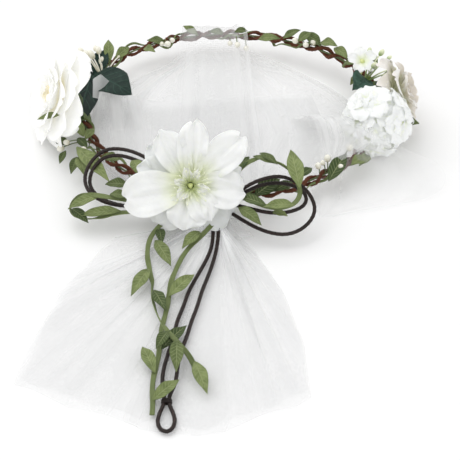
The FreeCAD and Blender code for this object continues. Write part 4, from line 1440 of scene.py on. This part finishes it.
# ---- flowers -------------------------------------------------------------
@dataclass
class Magnolia:
    """The big white magnolia over the bow."""

    palette: Palette
    seat: FlowerSeat = FlowerSeat((-24, -97, 26), (0, -0.77, 0.64))

    def build(self) -> None:
        """Petals, heart, stamens and receptacle."""
        rng = np.random.default_rng(101)
        outer = Sheaf()
        # The tone column is painted shade: the back petals, which lie in the shade of the front ones, get low
        # tones and so a greyer colour.
        plan = (  # turn, length, width, foot angle, tip angle, lift, hollow, tone, sway
            (130, 34, 24, 22, -6, 0.0, 0.6, 0.1, 0.02), (162, 33, 23, 26, -4, 0.3, 0.6, 0.3, 0.0),
            (318, 31, 27, 18, -14, 0.2, 0.5, 0.0, 0.0), (228, 30, 25, 24, -14, 0.4, 0.6, 0.5, 0.0),
            (20, 31, 20, 26, -4, 0.6, 0.6, 0.5, 0.0), (117, 38, 21, 34, 2, 1.0, 0.75, 0.75, 0.03),
            (88, 40, 20, 36, 2, 1.5, 0.7, 1.0, -0.04), (42, 44, 23, 32, 2, 1.8, 0.6, 1.0, 0.02),
            (352, 33, 25, 34, -8, 2.0, 0.7, 0.9, 0.02), (264, 27, 26, 40, -8, 2.2, 0.7, 0.95, 0.0),
            (300, 25, 20, 44, 0, 2.6, 0.8, 0.9, 0.0), (190, 41, 29, 34, -4, 2.6, 0.65, 1.0, 0.04))
        for turn, length, width, foot, tip, lift, hollow, tone, sway in plan:
            cut = PetalCut(length, width, foot, tip, hollow, belly=0.66, blunt=0.45, ruffle=2.0, waves=2.8,
                    crease=1.6, curl=1.5, sway=sway, rows=30, columns=25)
            outer.add(self.seat.place(cut.grid(rng), turn, lift, 2.0), tone=tone)
        settle(outer.piece("magnolia_outer_petal_set", self.palette.magnolia, PETAL_CLOTH, 1), "root",
               ["magnolia_outer_petals"])
        inner = Sheaf()
        for turn, length, width, foot, tip, lift in ((228, 12, 9, 60, 34, 3.6), (105, 13, 7, 64, 40, 3.4),
                (60, 12, 6, 64, 40, 3.4), (345, 12, 7, 60, 34, 3.2),
                (165, 11, 6, 64, 40, 3.2)):
            cut = PetalCut(length, width, foot, tip, 1.1, belly=0.6, ruffle=1.0, crease=0.7, curl=1.0,
                    rows=20,
                    columns=15)
            inner.add(self.seat.place(cut.grid(rng), turn, lift, 2.2), tone=float(rng.uniform(0.7, 1.0)))
        settle(inner.piece("magnolia_inner_petal_set", self.palette.magnolia_inner, PETAL_CLOTH, 1), "root",
               ["magnolia_inner_petals"])
        self._heart(rng)

    def _heart(self, rng: np.random.Generator) -> None:
        """Receptacle, stamens and felt back."""
        right, up, facing = self.seat.axes()
        base = np.array(self.seat.base) * MM
        heart = Sheaf()
        heart.add(blob(base + facing * 0.004, (0.0018, 0.0036), rng, facing, 0.12, 14, 18), wrap=True,
                  capped=True)
        settle(heart.piece("magnolia_receptacle", self.palette.centre), "root",
               ["magnolia_centre"])
        threads = Sheaf()
        for index in range(22):
            turn = 2.4 * index
            spread = 0.22 + 0.75 * math.sqrt(index / 22)
            way = unit(facing + spread * (math.cos(turn) * right + math.sin(turn) * up))
            foot = base + facing * 0.006 + 0.0026 * (math.cos(turn) * right + math.sin(turn) * up)
            reach = rng.uniform(0.011, 0.0165)
            tip = foot + way * reach
            threads.add(stalk(bowed(foot, tip, facing * 0.0012), 0.00022, 0.00016, 5), wrap=True, capped=True)
            threads.add(blob(tip, (0.00055, 0.0009), rng, way, rows=6, columns=8), wrap=True, capped=True)
        settle(threads.piece("magnolia_stamen_threads", self.palette.stamen), "root",
               ["magnolia_stamens"])
        dress_node("magnolia_backing", self.palette.tape)


@dataclass
class Peony:
    """The many-petalled cream peony on the left."""

    palette: Palette
    seat: FlowerSeat = FlowerSeat((-105.5, -13.5, 32), (-0.88, -0.24, 0.40))

    def build(self) -> None:
        """Three petal sets, heart and calyx."""
        rng = np.random.default_rng(202)
        layers = (
            ("peony_outer_petal_set", "peony_outer_petals", self.palette.peony, (
                Whorl(PetalCut(36, 35, 14, -12, 0.45, blunt=0.38, ruffle=0.8, waves=1.4, curl=1.8), 6, 10),
                Whorl(PetalCut(35, 33, 24, 0, 0.5, blunt=0.38, ruffle=0.8, waves=1.4, curl=1.6), 6, 40,
                0.6))),
            ("peony_middle_petal_set", "peony_middle_petals", self.palette.peony, (
                Whorl(PetalCut(30, 29, 36, 10, 0.6, blunt=0.38, ruffle=0.8, waves=1.4, curl=1.0), 6, 20, 1.2),
                Whorl(PetalCut(27, 26, 46, 20, 0.7, blunt=0.38, ruffle=0.7, waves=1.4, curl=0.8), 6, 50,
                1.6))),
            ("peony_inner_petal_set", "peony_inner_petals", self.palette.peony, (
                Whorl(PetalCut(20, 20, 54, 32, 0.8, blunt=0.38, ruffle=0.7, waves=1.4), 6, 8, 2.0),
                Whorl(PetalCut(14, 14, 64, 48, 0.9, blunt=0.38, ruffle=0.6, waves=1.4), 5, 30, 2.4))))
        for name, node, finish, whorls in layers:
            sheaf = Sheaf()
            for whorl in whorls:
                whorl.fill(sheaf, self.seat, rng)
            settle(sheaf.piece(name, finish, PETAL_CLOTH, 1), "root", [node])
        heart = Sheaf()
        for whorl in (Whorl(PetalCut(11, 8, 76, 66, 1.1, ruffle=0.8), 6, 0, 2.6),
                Whorl(PetalCut(9, 6, 84, 80, 1.1, ruffle=0.8), 5, 25, 2.8)):
            whorl.fill(heart, self.seat, rng)
        settle(heart.piece("peony_heart_tuft", self.palette.peony_heart, PETAL_CLOTH, 1), "root",
               ["peony_centre"])
        dress_node("peony_calyx", self.palette.sage)


@dataclass
class Hydrangea:
    """The ball of small white florets on the right."""

    palette: Palette
    centre: tuple[float, float, float] = (93, -29, 24)
    facing: tuple[float, float, float] = (0.05, -0.50, 0.86)
    radius: float = 16.5
    florets: int = 22
    spread_deg: float = 118
    rose_place: tuple[float, float, float] = (106, -4, 28)
    rose_gap: float = 13
    lowest: float = 11

    def seats(self) -> tuple[np.ndarray, np.ndarray]:
        """Seat points in metres and directions of the florets."""
        turn = FlowerSeat(self.centre, self.facing)
        right, up, facing = turn.axes()
        index = np.arange(self.florets)
        height = 1 - (1 - math.cos(math.radians(self.spread_deg))) * (index + 0.5) / self.florets
        radial = np.sqrt(1 - height ** 2)
        angle = index * math.pi * (3 - math.sqrt(5))
        ways = (height[:, None] * facing + (radial * np.cos(angle))[:, None] * right
                + (radial * np.sin(angle))[:, None] * up)
        wave = self.radius * (1 + 0.07 * np.sin(index * 1.7))
        points = np.array(self.centre) + ways * wave[:, None]
        rose = np.linalg.norm(points - np.array(self.rose_place), axis=1)
        kept = (points[:, 2] > self.lowest) & (rose > self.rose_gap)
        return points[kept] * MM, ways[kept]

    def build(self) -> None:
        """Florets, their centres and the dressed stems."""
        seats, ways = self.seats()
        rng = np.random.default_rng(303)
        floret = Sheaf()
        own = FlowerSeat((0, 0, 0), (0, 0, 1), (0, 1, 0))
        for index in range(5):
            cut = PetalCut(13.5, 13.5, 26, -12, 0.4, belly=0.64, blunt=0.38, foot=0.25, ruffle=0.9, waves=1.8,
                    crease=0.3, curl=0.9, rows=14, columns=13)
            floret.add(own.place(cut.grid(rng), 72 * index + rng.uniform(-7, 7), 0.2 * index, 0.4),
                       tone=float(rng.uniform(0.2, 1.0)))
        scatter = Scatter("florets_on_head")
        petals = scatter.spread("hydrangea_floret_set", seats, ways,
                floret.piece("floret", self.palette.hydrangea, THIN_CLOTH, 1),
                self.palette.hydrangea, (0.78, 1.08), 1.6, 5)
        settle(petals, "root", ["hydrangea_florets"])
        bead = Sheaf()
        bead.add(blob(mm(0, 0, 1.4), mm(1.2, 0.9), rng, lumps=0.1, rows=8, columns=10), wrap=True,
                 capped=True)
        beads = scatter.spread("hydrangea_floret_eyes", seats, ways, bead.piece("eye", self.palette.centre),
                self.palette.centre, (0.8, 1.1), 1.6, 5)
        settle(beads, "root", ["hydrangea_centres"])
        hub = np.array(self.centre) * MM - 0.004 * unit(self.facing)
        stems = Sheaf()
        for seat in seats:
            stems.add(stalk(bowed(hub, seat, count=4), 0.0005), wrap=True, capped=True)
        stems.add(stalk(bowed(hub, mm(86, -37, 12), mm(1.5, 0, 0)), 0.0012), wrap=True, capped=True)
        stems.add(blob(hub, (0.003, 0.003), rng), wrap=True, capped=True)
        settle(stems.piece("hydrangea_stem_spray", self.palette.sage), "root",
               ["hydrangea_stems"])


@dataclass
class SideFlowers:
    """The beige rose, the small blossom and the bud sprigs."""

    palette: Palette
    rose: FlowerSeat = FlowerSeat((104, -4, 27), (0.93, -0.10, 0.35))
    blossom: FlowerSeat = FlowerSeat((87, 32, 27), (0.1, -0.45, 0.88))

    def _rose(self) -> None:
        """The rose facing outwards."""
        rng = np.random.default_rng(404)
        outer, inner, heart, sepals = Sheaf(), Sheaf(), Sheaf(), Sheaf()
        for sheaf, whorl in (
                (outer, Whorl(PetalCut(25, 25, 22, -16, 0.55, blunt=0.40, ruffle=1.2, curl=2.4), 6, 15, 0.2)),
                (outer, Whorl(PetalCut(22, 22, 44, 10, 0.75, blunt=0.40, ruffle=0.9, curl=1.8), 5, 50, 0.8)),
                (inner, Whorl(PetalCut(17, 16, 64, 40, 0.95, blunt=0.42, ruffle=0.6, curl=1.0), 5, 20, 1.2)),
                (heart, Whorl(PetalCut(12, 9, 82, 70, 1.2, blunt=0.42, ruffle=0.4, curl=0.5), 4, 60, 1.4)),
                (sepals, Whorl(PetalCut(13, 4.6, 8, -30, 0.4, belly=0.4, blunt=0.8, ruffle=0.3), 5, 20,
                -1.4))):
            whorl.fill(sheaf, self.rose, rng)
        _, _, facing = self.rose.axes()
        base = np.array(self.rose.base) * MM
        sepals.add(blob(base - facing * 0.002, (0.0034, 0.0036), rng, facing), wrap=True, capped=True)
        sepals.add(stalk(bowed(base - facing * 0.003, mm(97.5, -8, 13.5), mm(0, 0, 1)), 0.0009), wrap=True,
                   capped=True)
        settle(outer.piece("rose_outer_petal_set", self.palette.rose, LEAF_CLOTH, 1), "root",
               ["rose_outer_petals"])
        settle(inner.piece("rose_inner_petal_set", self.palette.rose, LEAF_CLOTH, 1), "root",
               ["rose_inner_petals"])
        settle(heart.piece("rose_furled_heart", self.palette.rose, LEAF_CLOTH, 1), "root",
               ["rose_bud"])
        settle(sepals.piece("rose_sepals_and_stem", self.palette.sage, THIN_CLOTH, 1), "root",
               ["rose_sepals"])

    def _blossom(self) -> None:
        """The small white blossom."""
        rng = np.random.default_rng(505)
        petals, eye = Sheaf(), Sheaf()
        Whorl(PetalCut(9.5, 8.2, 34, -8, 0.6, belly=0.62, blunt=0.45, ruffle=0.4, crease=0.15), 5, 18,
              0.2).fill(
            petals, self.blossom, rng)
        _, _, facing = self.blossom.axes()
        base = np.array(self.blossom.base) * MM
        eye.add(blob(base + facing * 0.001, (0.0016, 0.0013), rng, facing, 0.12, 10, 14), wrap=True,
                capped=True)
        eye.add(stalk(bowed(base, mm(86, 35, 12.5), mm(1, 0, 0)), 0.0006), wrap=True, capped=True)
        settle(petals.piece("blossom_petal_set", self.palette.hydrangea, THIN_CLOTH, 1), "root",
               ["blossom_petals"])
        settle(eye.piece("blossom_eye_and_stem", self.palette.centre), "root",
               ["blossom_centre"])

    def _sprig(self, name: str, node: str, foot: Point, buds: Sequence[tuple[float, ...]], finish: Any) -> None:
        """Closed buds on bowed stems from one foot.

        Args:
            name: the object's name.
            node: the CAD node it stands for.
            foot: where the stems meet, in millimetres.
            buds: x, y, z and radius of each bud.
            finish: material of the buds and stems.
        """
        rng = np.random.default_rng(len(buds) * 61)
        sheaf = Sheaf()
        for x, y, z, radius in buds:
            tip = mm(x, y, z)
            line = bowed(mm(*foot), tip, mm(0, 0, 2.2), 12)
            way = unit(line[-1] - line[-3])
            sheaf.add(stalk(line, 0.00055, 0.0004), wrap=True, capped=True)
            sheaf.add(blob(tip + way * radius * 0.5 * MM, mm(radius, radius * 1.5), rng, way, 0.1, 14, 14),
                      wrap=True, capped=True)
        settle(sheaf.piece(name, finish), "root", [node])

    def build(self) -> None:
        """Build the small flowers."""
        self._rose()
        self._blossom()
        self._sprig("bud_sprig_by_blossom", "bud_sprig_right", (89, 26, 14),
                    ((99, 33, 33, 1.7), (104, 29, 32, 1.3), (110, 19, 28, 1.3), (94, 23, 30, 1.9),
                (107, 24, 27, 1.1),
                (92, 38, 31, 1.5)), self.palette.bud)
        self._sprig("bud_sprig_by_peony", "bud_sprig_left", (-84, 28, 15),
                    ((-91, 36, 29, 2.4), (-87, 41, 29, 2.0), (-94, 36, 30, 1.9), (-89, 45, 28, 1.6),
                (-74, 42, 24, 1.0), (-98, 41, 29, 1.8), (-85, 38, 24, 1.8)), self.palette.ivory)


@dataclass
class SingleLeaves:
    """The single leaves that are wired on beside the flowers."""

    palette: Palette

    def build(self) -> None:
        """Build the leaves."""
        rng = np.random.default_rng(606)
        dark, teal, green = Sheaf(), Sheaf(), Sheaf()
        up = (0.05, -0.5, 0.86)
        add_leaves(dark, [
            Leaf((-92, 32, 18), (-64, 4, 21), 24, 0.3, 2.5, 0.15, (0.1, -0.45, 0.9), 0.04, 0.55),
            Leaf((-91, 32, 19), (-100, -26, 12), 18, 0.15, 2.0, 0.2, (0.15, -0.5, 0.86), 0.04, 0.45),
            Leaf((-90, 30, 18), (-82, 47, 27), 12, 0.35, 2.0, 0.25, up, 0.05)], rng)
        add_leaves(teal, [Leaf((91, 27, 16), (79, 0, 27), 18, 1.0, 2.5, 0.25, (0.25, -0.40, 0.88), 0.22),
                Leaf((96, 22, 17), (106, 8, 27), 9, 0.4, 1.5, 0.25, (0.2, -0.5, 0.85), 0.15)], rng)
        add_leaves(green, [
            Leaf((98, 17, 17), (108, 29, 24), 6.5, 0.9, face=up),
            Leaf((104.5, -12, 12), (122, -17, 13), 10, 0.5, face=up),
            Leaf((88, -45, 9), (81, -60, 12), 7, 0.9, face=up),
            Leaf((-80, 38, 20), (-81, 52, 31), 7.5, 0.9, face=up, belly=0.6),
            Leaf((-77, 41, 22), (-67, 49, 27), 7.5, 0.8, face=up, belly=0.6),
            Leaf((92, 28, 20), (97, 41, 27), 6, 0.6, face=up),
            Leaf((-85, 36, 18), (-93, 43, 24), 6, 0.1, face=up),
            Leaf((-107, -31, 31), (-122, -34, 29), 4.5, 0.8, face=up)], rng)
        settle(dark.piece("dark_leaves_behind_peony", self.palette.teal, PETAL_CLOTH, 1), "root",
               ["dark_leaves"])
        settle(teal.piece("serrated_teal_leaves", self.palette.teal, PETAL_CLOTH, 1), "root",
               ["teal_leaf"])
        settle(green.piece("green_wired_leaves", self.palette.sage, PETAL_CLOTH, 1), "root",
               ["green_leaves_right"])


# ---- the veil ------------------------------------------------------------
def fold_wave(share: np.ndarray, count: float, seed: int) -> np.ndarray:
    """An uneven run of folds over 0..1, from -1 to 1, smooth and repeatable."""
    rng = np.random.default_rng(seed)
    phases = rng.uniform(0, ROUGH_TURN, 4)
    drift = share * count + 0.35 * np.sin(TURN * share * count * 0.23 + phases[0])
    drift = drift + 0.22 * np.sin(TURN * share * count * 0.47 + phases[1])
    size = 0.62 + 0.38 * np.sin(TURN * share * count * 0.31 + phases[2])
    return np.sin(TURN * drift + phases[3]) * size


@dataclass
class Veil:
    """The tulle: a gathered skirt, the panel inside the ring, the folds over it and a loose end."""

    palette: Palette
    gather: tuple[float, float] = (-9.0, -100.0)
    hem: tuple[tuple[float, float], ...] = (
        (-40, -112), (-72, -116), (-100, -160), (-118, -215), (-124, -247),
        (-103, -259), (-66, -275), (-34, -287), (-18, -289), (5, -280), (33, -266),
        (47, -258), (44, -212), (32, -166), (16, -130), (4, -112))

    def _reach(self, angle: np.ndarray) -> np.ndarray:
        """Distance from the gather to the hem at each angle, in millimetres."""
        corners = np.array(self.hem, float) - np.array(self.gather)
        turn = np.unwrap(np.arctan2(corners[:, 1], corners[:, 0]))
        turn = np.where(turn < 0, turn + TURN, turn)
        result = np.zeros_like(angle)
        for first, second, low, high in zip(corners, corners[1:], turn, turn[1:]):
            inside = (angle >= low - 1e-9) & (angle <= high + 1e-9)
            edge = second - first
            way = np.stack([np.cos(angle), np.sin(angle)], axis=-1)
            cross = way[..., 0] * edge[1] - way[..., 1] * edge[0]
            hit = (first[0] * edge[1] - first[1] * edge[0]) / np.where(np.abs(cross) < 1e-9, 1e-9, cross)
            result = np.where(inside, hit, result)
        return result

    def _skirt_layer(self, sheaf: Sheaf, low: float, high: float, count: float, seed: int, lift: float,
            shrink: float, base: float) -> None:
        """One layer of the gathered skirt.

        Args:
            sheaf: what takes the layer.
            low: first angle round the gather, in degrees.
            high: last angle.
            count: folds across.
            seed: seed of the folds.
            lift: height above the table, in millimetres.
            shrink: its reach as a share of the hem's.
            base: how dense it looks away from the gather.
        """
        across = np.linspace(0, 1, 300)
        along = np.linspace(0.03, 1, 50) ** 1.1
        s, r = np.meshgrid(across, along)
        fold = fold_wave(s, count, seed)
        slope = np.gradient(fold_wave(across, count, seed), across)[None, :] / (count * ROUGH_TURN)
        open_out = 1 - 0.8 * smoothstep(0.25, 1.0, r)
        angle = np.radians(low + (high - low) * np.clip(s
                + 0.014 * open_out * slope * np.sin(np.pi * s) ** 0.3,
                0, 1))
        reach = self._reach(angle) * shrink
        reach = reach * (1 - 0.018 * np.abs(np.sin(TURN * s * 4.3 + seed)) * smoothstep(0.6, 1.0, r))
        radius = reach * r
        beside = smoothstep(276, 284, np.degrees(angle)) + smoothstep(236, 222, np.degrees(angle)) * 0.6
        height = 1.1 + beside * (3.4 * np.exp(-((r - 0.22) / 0.2) ** 2) + 0.6 * open_out)
        z = 0.35 + lift + height * (0.5 + 0.5 * fold) * (0.45 + 0.55 * open_out)
        z = z + 3.5 * np.exp(-(r / 0.05) ** 2)
        x = self.gather[0] + radius * np.cos(angle)
        y = self.gather[1] + radius * np.sin(angle)
        # The density sets the tulle's alpha and also its painted light: denser cloth is drawn whiter and glows.
        dense = 0.85 * np.exp(-((r - 0.03) / 0.20) ** 2) + base
        dense = dense + 0.22 * np.clip(slope, -1, 1) * smoothstep(0.05, 0.4, r) * (0.25 + 0.75 * open_out)
        rim = np.exp(-(1 - r) / 0.06) + np.exp(-np.minimum(s, 1 - s) / 0.03) * smoothstep(0.1, 0.4, r)
        dense = dense - 0.12 * np.clip(rim, 0, 1)
        sheaf.add(np.stack([x, y, z], axis=-1) * MM, tone=np.clip(dense, -0.3, 1))

    def skirt(self) -> None:
        """The gathered skirt that lies behind the crown."""
        sheaf = Sheaf()
        self._skirt_layer(sheaf, 194.5, 316.5, 13, 8, 0.0, 0.985, 0.10)
        self._skirt_layer(sheaf, 212, 311, 9, 19, 0.5, 0.95, -0.04)
        obj = settle(sheaf.piece("veil_gathered_skirt", self.palette.tulle), "veil_skirt",
                ["veil_skirt"])
        self.declare(obj, "gathered", ())

    def declare(self, obj: bpy.types.Object, held: str, rests: Sequence[str]) -> None:
        """Evaluate a sheet's mesh; the result is not used."""
        graph = bpy.context.evaluated_depsgraph_get()
        mesh = obj.evaluated_get(graph).to_mesh()

    def _rows(self, rows: Sequence[tuple[float, float, float, float]], folds: float, seed: int, depth: float,
              columns: int = 170, between: int = 9,
              haze: float = 0.05) -> tuple[np.ndarray, np.ndarray]:
        """A sheet through rows of (y, left x, right x, z), with folds that run along y.

        Args:
            rows: the rows in millimetres.
            folds: number of folds across.
            seed: seed of the folds.
            depth: height of the folds in millimetres.
            columns: points across.
            between: rows between two given rows.
            haze: how dense the cloth looks between its folds.

        Returns:
            The grid in metres, and how dense the cloth looks at each point, which also sets its painted
            whiteness and glow.
        """
        given = np.array(rows, float)
        index = np.arange(len(given))
        fine = np.linspace(0, len(given) - 1, (len(given) - 1) * between + 1)
        table = np.stack([np.interp(fine, index, given[:, k]) for k in range(4)], axis=1)
        for _ in range(6):
            table[1:-1] = (table[:-2] + 2 * table[1:-1] + table[2:]) / 4
        s = np.linspace(0, 1, columns)
        fold = fold_wave(s, folds, seed)
        slope = np.gradient(fold, s) / (folds * ROUGH_TURN)
        x = table[:, 1:2] + (table[:, 2:3] - table[:, 1:2]) * s[None, :]
        relax = 0.7 + 0.3 * np.sin(table[:, 0:1] * 0.05 + seed + 3 * s[None, :])
        z = table[:, 3:4] + depth * (0.5 + 0.5 * fold)[None, :] * relax
        y = np.repeat(table[:, 0:1], columns, axis=1) + 0.5 * fold[None, :]
        dense = haze + 0.20 * np.clip(slope, -1, 1)[None, :] * relax
        rim = np.minimum(s, 1 - s)[None, :] * (table[:, 2:3] - table[:, 1:2])
        dense = dense - 0.12 * np.exp(-rim / 5.0)
        return np.stack([x, y, z], axis=-1) * MM, np.clip(dense, -0.3, 1)

    def _tent(self, lines: Sequence[Sequence[Point]], folds: float, seed: int,
              depth: float) -> tuple[np.ndarray, np.ndarray]:
        """A sheet stretched over lines of points, the last of which holds its propped corner.

        Args:
            lines: lines of points in millimetres, from the near edge to the far edge.
            folds: number of folds across.
            seed: seed of the folds.
            depth: height of the folds in millimetres.

        Returns:
            The grid in metres, and how dense the cloth looks at each point, which also sets its painted
            whiteness and glow.
        """
        share = np.linspace(0, 1, 170)
        shaped = []
        for line in lines:
            points = np.array(line, float)
            run = np.append(0, np.cumsum(np.linalg.norm(np.diff(points, axis=0), axis=1)))
            shaped.append(np.stack([np.interp(share, run / run[-1], points[:, k]) for k in range(3)], axis=1))
        stack = np.array(shaped)
        rows = np.linspace(0, len(lines) - 1, 26 * (len(lines) - 1) + 1)
        low = np.minimum(rows.astype(int), len(lines) - 2)
        blend = (rows - low)[:, None, None]
        grid = stack[low] * (1 - blend) + stack[low + 1] * blend
        fold = fold_wave(share, folds, seed)
        slope = np.gradient(fold, share) / (folds * ROUGH_TURN)
        grid[..., 2] += depth * (0.5 + 0.5 * fold)[None, :]
        corner = stack[-1][np.argmax(stack[-1][:, 2])]
        away = np.linalg.norm(grid - corner, axis=-1)
        dense = 0.04 + 0.20 * np.clip(slope, -1, 1)[None, :] + 0.42 * np.exp(-away / 24)
        return grid * MM, np.clip(dense, -0.3, 1)

    def panels(self) -> None:
        """The panel inside the ring, the folds over the front, and the loose end."""
        inner = Sheaf()
        inner.add(*self._rows(((-78, -40, 14, 2), (-70, -64, 52, 1.2), (-60, -76, 64, 0.8),
                (-40, -86, 76, 0.5),
                (-10, -91, 84, 0.4), (12, -89, 84, 0.4), (26, -84, 78, 0.4),
                (40, -74, 66, 0.5),
                (55, -58, 48, 0.7), (66, -42, 34, 1.5), (74, -33, 14, 6)), 7, 33, 1.0))
        inner.add(*self._tent((
            ((-66, -70, 2.2), (-20, -76, 2.4), (30, -74, 2.2)),
            ((-84, -44, 2), (-20, -52, 2), (52, -44, 2)),
            ((-89.4, -10, 3), (-66, -11, 2), (0, -14, 1.6), (64, -12, 1.4)),
            ((-89.5, 15, 24), (-84.4, 18, 26), (-61, 16, 8), (-36, 19, 2.6), (-3, 25, 1.8), (54, 30, 1.6))),
            6, 64, 1.6))
        obj = settle(inner.piece("veil_panel_inside_ring", self.palette.tulle), "root",
                ["veil_inner_panel"])
        self.declare(obj, "laid", ())
        bridge = Sheaf()
        bridge.add(*self._rows(((-72, -40, 22, 4.0), (-30, -39, 20, 4.0), (10, -37.5, 17, 6.0),
                (40, -36, 14.5, 10.5),
                (62, -35, 13, 15.5), (74, -34, 12, 18.6), (81, -34, 11, 19.6),
                (86, -33.5, 10.5, 18.6),
                (89.5, -33, 10, 15.5), (91, -33, 10, 11), (91, -33, 10, 6)), 4, 51, 2.0, 150))
        obj = settle(bridge.piece("veil_folds_over_front", self.palette.tulle), "root",
                ["veil_bridge"])
        self.declare(obj, "draped", ["vine_strand_first"])
        side = Sheaf()
        side.add(*self._rows(((-96, 55, 66, 0.8), (-88, 53, 100, 1.0), (-81, 52, 122, 1.5),
                (-74, 51, 133, 3.5),
                (-66, 51, 136, 8), (-59, 51, 130, 14), (-53, 52, 112, 19), (-48, 56, 96, 22.5)),
                3, 72, 1.2, haze=-0.14))
        side.add(*self._rows(((-63, 61, 70, 18.5), (-57.5, 58, 83, 22.5), (-53, 56, 91, 27),
                (-47, 54, 90, 33),
                (-40, 52, 84, 34.5), (-30, 49, 77, 29.5), (-18, 46, 70, 18), (-6, 43, 64, 8),
                (4, 40, 60, 2.5)), 3, 23, 1.6, 90, haze=0.12))
        obj = settle(side.piece("veil_loose_end", self.palette.tulle), "root", ["veil_side_panel"])
        self.declare(obj, "draped", ["vine_strand_first"])
        neck = Sheaf()
        neck.add(*self._rows(((-92, -16, -2, 9), (-98, -19, 1, 8), (-104, -22, 5, 6.5), (-110, -27, 9, 4.5),
                (-118, -34, 15, 2.4)), 6, 91, 1.8, 110))
        obj = settle(neck.piece("veil_tight_gather", self.palette.tulle), "root", ["veil_gather"])
        self.declare(obj, "gathered", ())


# ---- the setting ---------------------------------------------------------
@dataclass
class Setting:
    """Floor, lights and camera."""

    camera_place: tuple[float, float, float] = (0.0, -1.02727, 0.77135)
    elevation: float = 40.0
    lens: float = 153.2
    sensor: float = 36.0
    far_clip: float = 20.0
    surround: float = 0.88
    floor_half: float = 3.0

    def camera(self) -> None:
        """The camera that looks down at the crown from the bow's side."""
        data = bpy.data.cameras.new("camera")
        data.lens = self.lens
        data.sensor_width = self.sensor
        data.clip_end = self.far_clip
        obj = linked("camera", data)
        obj.location = self.camera_place
        obj.rotation_euler = (math.radians(90 - self.elevation), 0, 0)
        bpy.context.scene.camera = obj

    def _lamp(self, name: str, place: Point, aim: Point, size: float, power: float) -> None:
        """One square area light.

        Args:
            name: its name.
            place: where it stands, in metres.
            aim: what it points at.
            size: length of its side.
            power: its power in watts.
        """
        data = bpy.data.lights.new(name, "AREA")
        data.size = size
        data.energy = power
        obj = linked(name, data)
        obj.location = place
        way = Vector(np.asarray(aim) - np.asarray(place))
        obj.rotation_euler = way.to_track_quat("-Z", "Y").to_euler()

    def light(self) -> None:
        """A bright white surround, a broad lamp from the upper left and a weak one from the front."""
        world = bpy.data.worlds.new("studio")
        world.use_nodes = True
        world.node_tree.nodes["Background"].inputs["Color"].default_value = (1.0, 1.0, 1.0, 1.0)
        world.node_tree.nodes["Background"].inputs["Strength"].default_value = self.surround
        bpy.context.scene.world = world
        self._lamp("key", (-1.3, 0.8, 2.6), (0, -0.08, 0), 3.0, 32.0)
        self._lamp("fill", (1.0, -2.2, 1.8), (0, -0.08, 0), 1.6, 5.0)
        bpy.context.scene.view_settings.view_transform = "Standard"

    def floor(self, finish: bpy.types.Material) -> None:
        """The surface under the crown."""
        mesh = bpy.data.meshes.new("floor")
        half = self.floor_half
        corners = [(-half, -half, 0), (half, -half, 0), (half, half, 0), (-half, half, 0)]
        mesh.from_pydata(corners, [], [(0, 1, 2, 3)])
        mesh.materials.append(finish)
        linked("floor", mesh)


def main() -> None:
    """Build the crown's pieces in order."""
    logging.basicConfig(level=logging.INFO, format="%(message)s")
    setting = Setting()
    setting.camera()
    palette = Palette()
    setting.floor(palette.floor)
    setting.light()
    bow = BowAndTails(palette)
    bow.cords()
    bow.ribbons()
    bow.knots()
    VineRing(palette=palette).build()
    Magnolia(palette).build()
    Peony(palette).build()
    Hydrangea(palette).build()
    SideFlowers(palette).build()
    SingleLeaves(palette).build()
    veil = Veil(palette)
    veil.skirt()
    veil.panels()


if __name__ == "__main__":
    main()
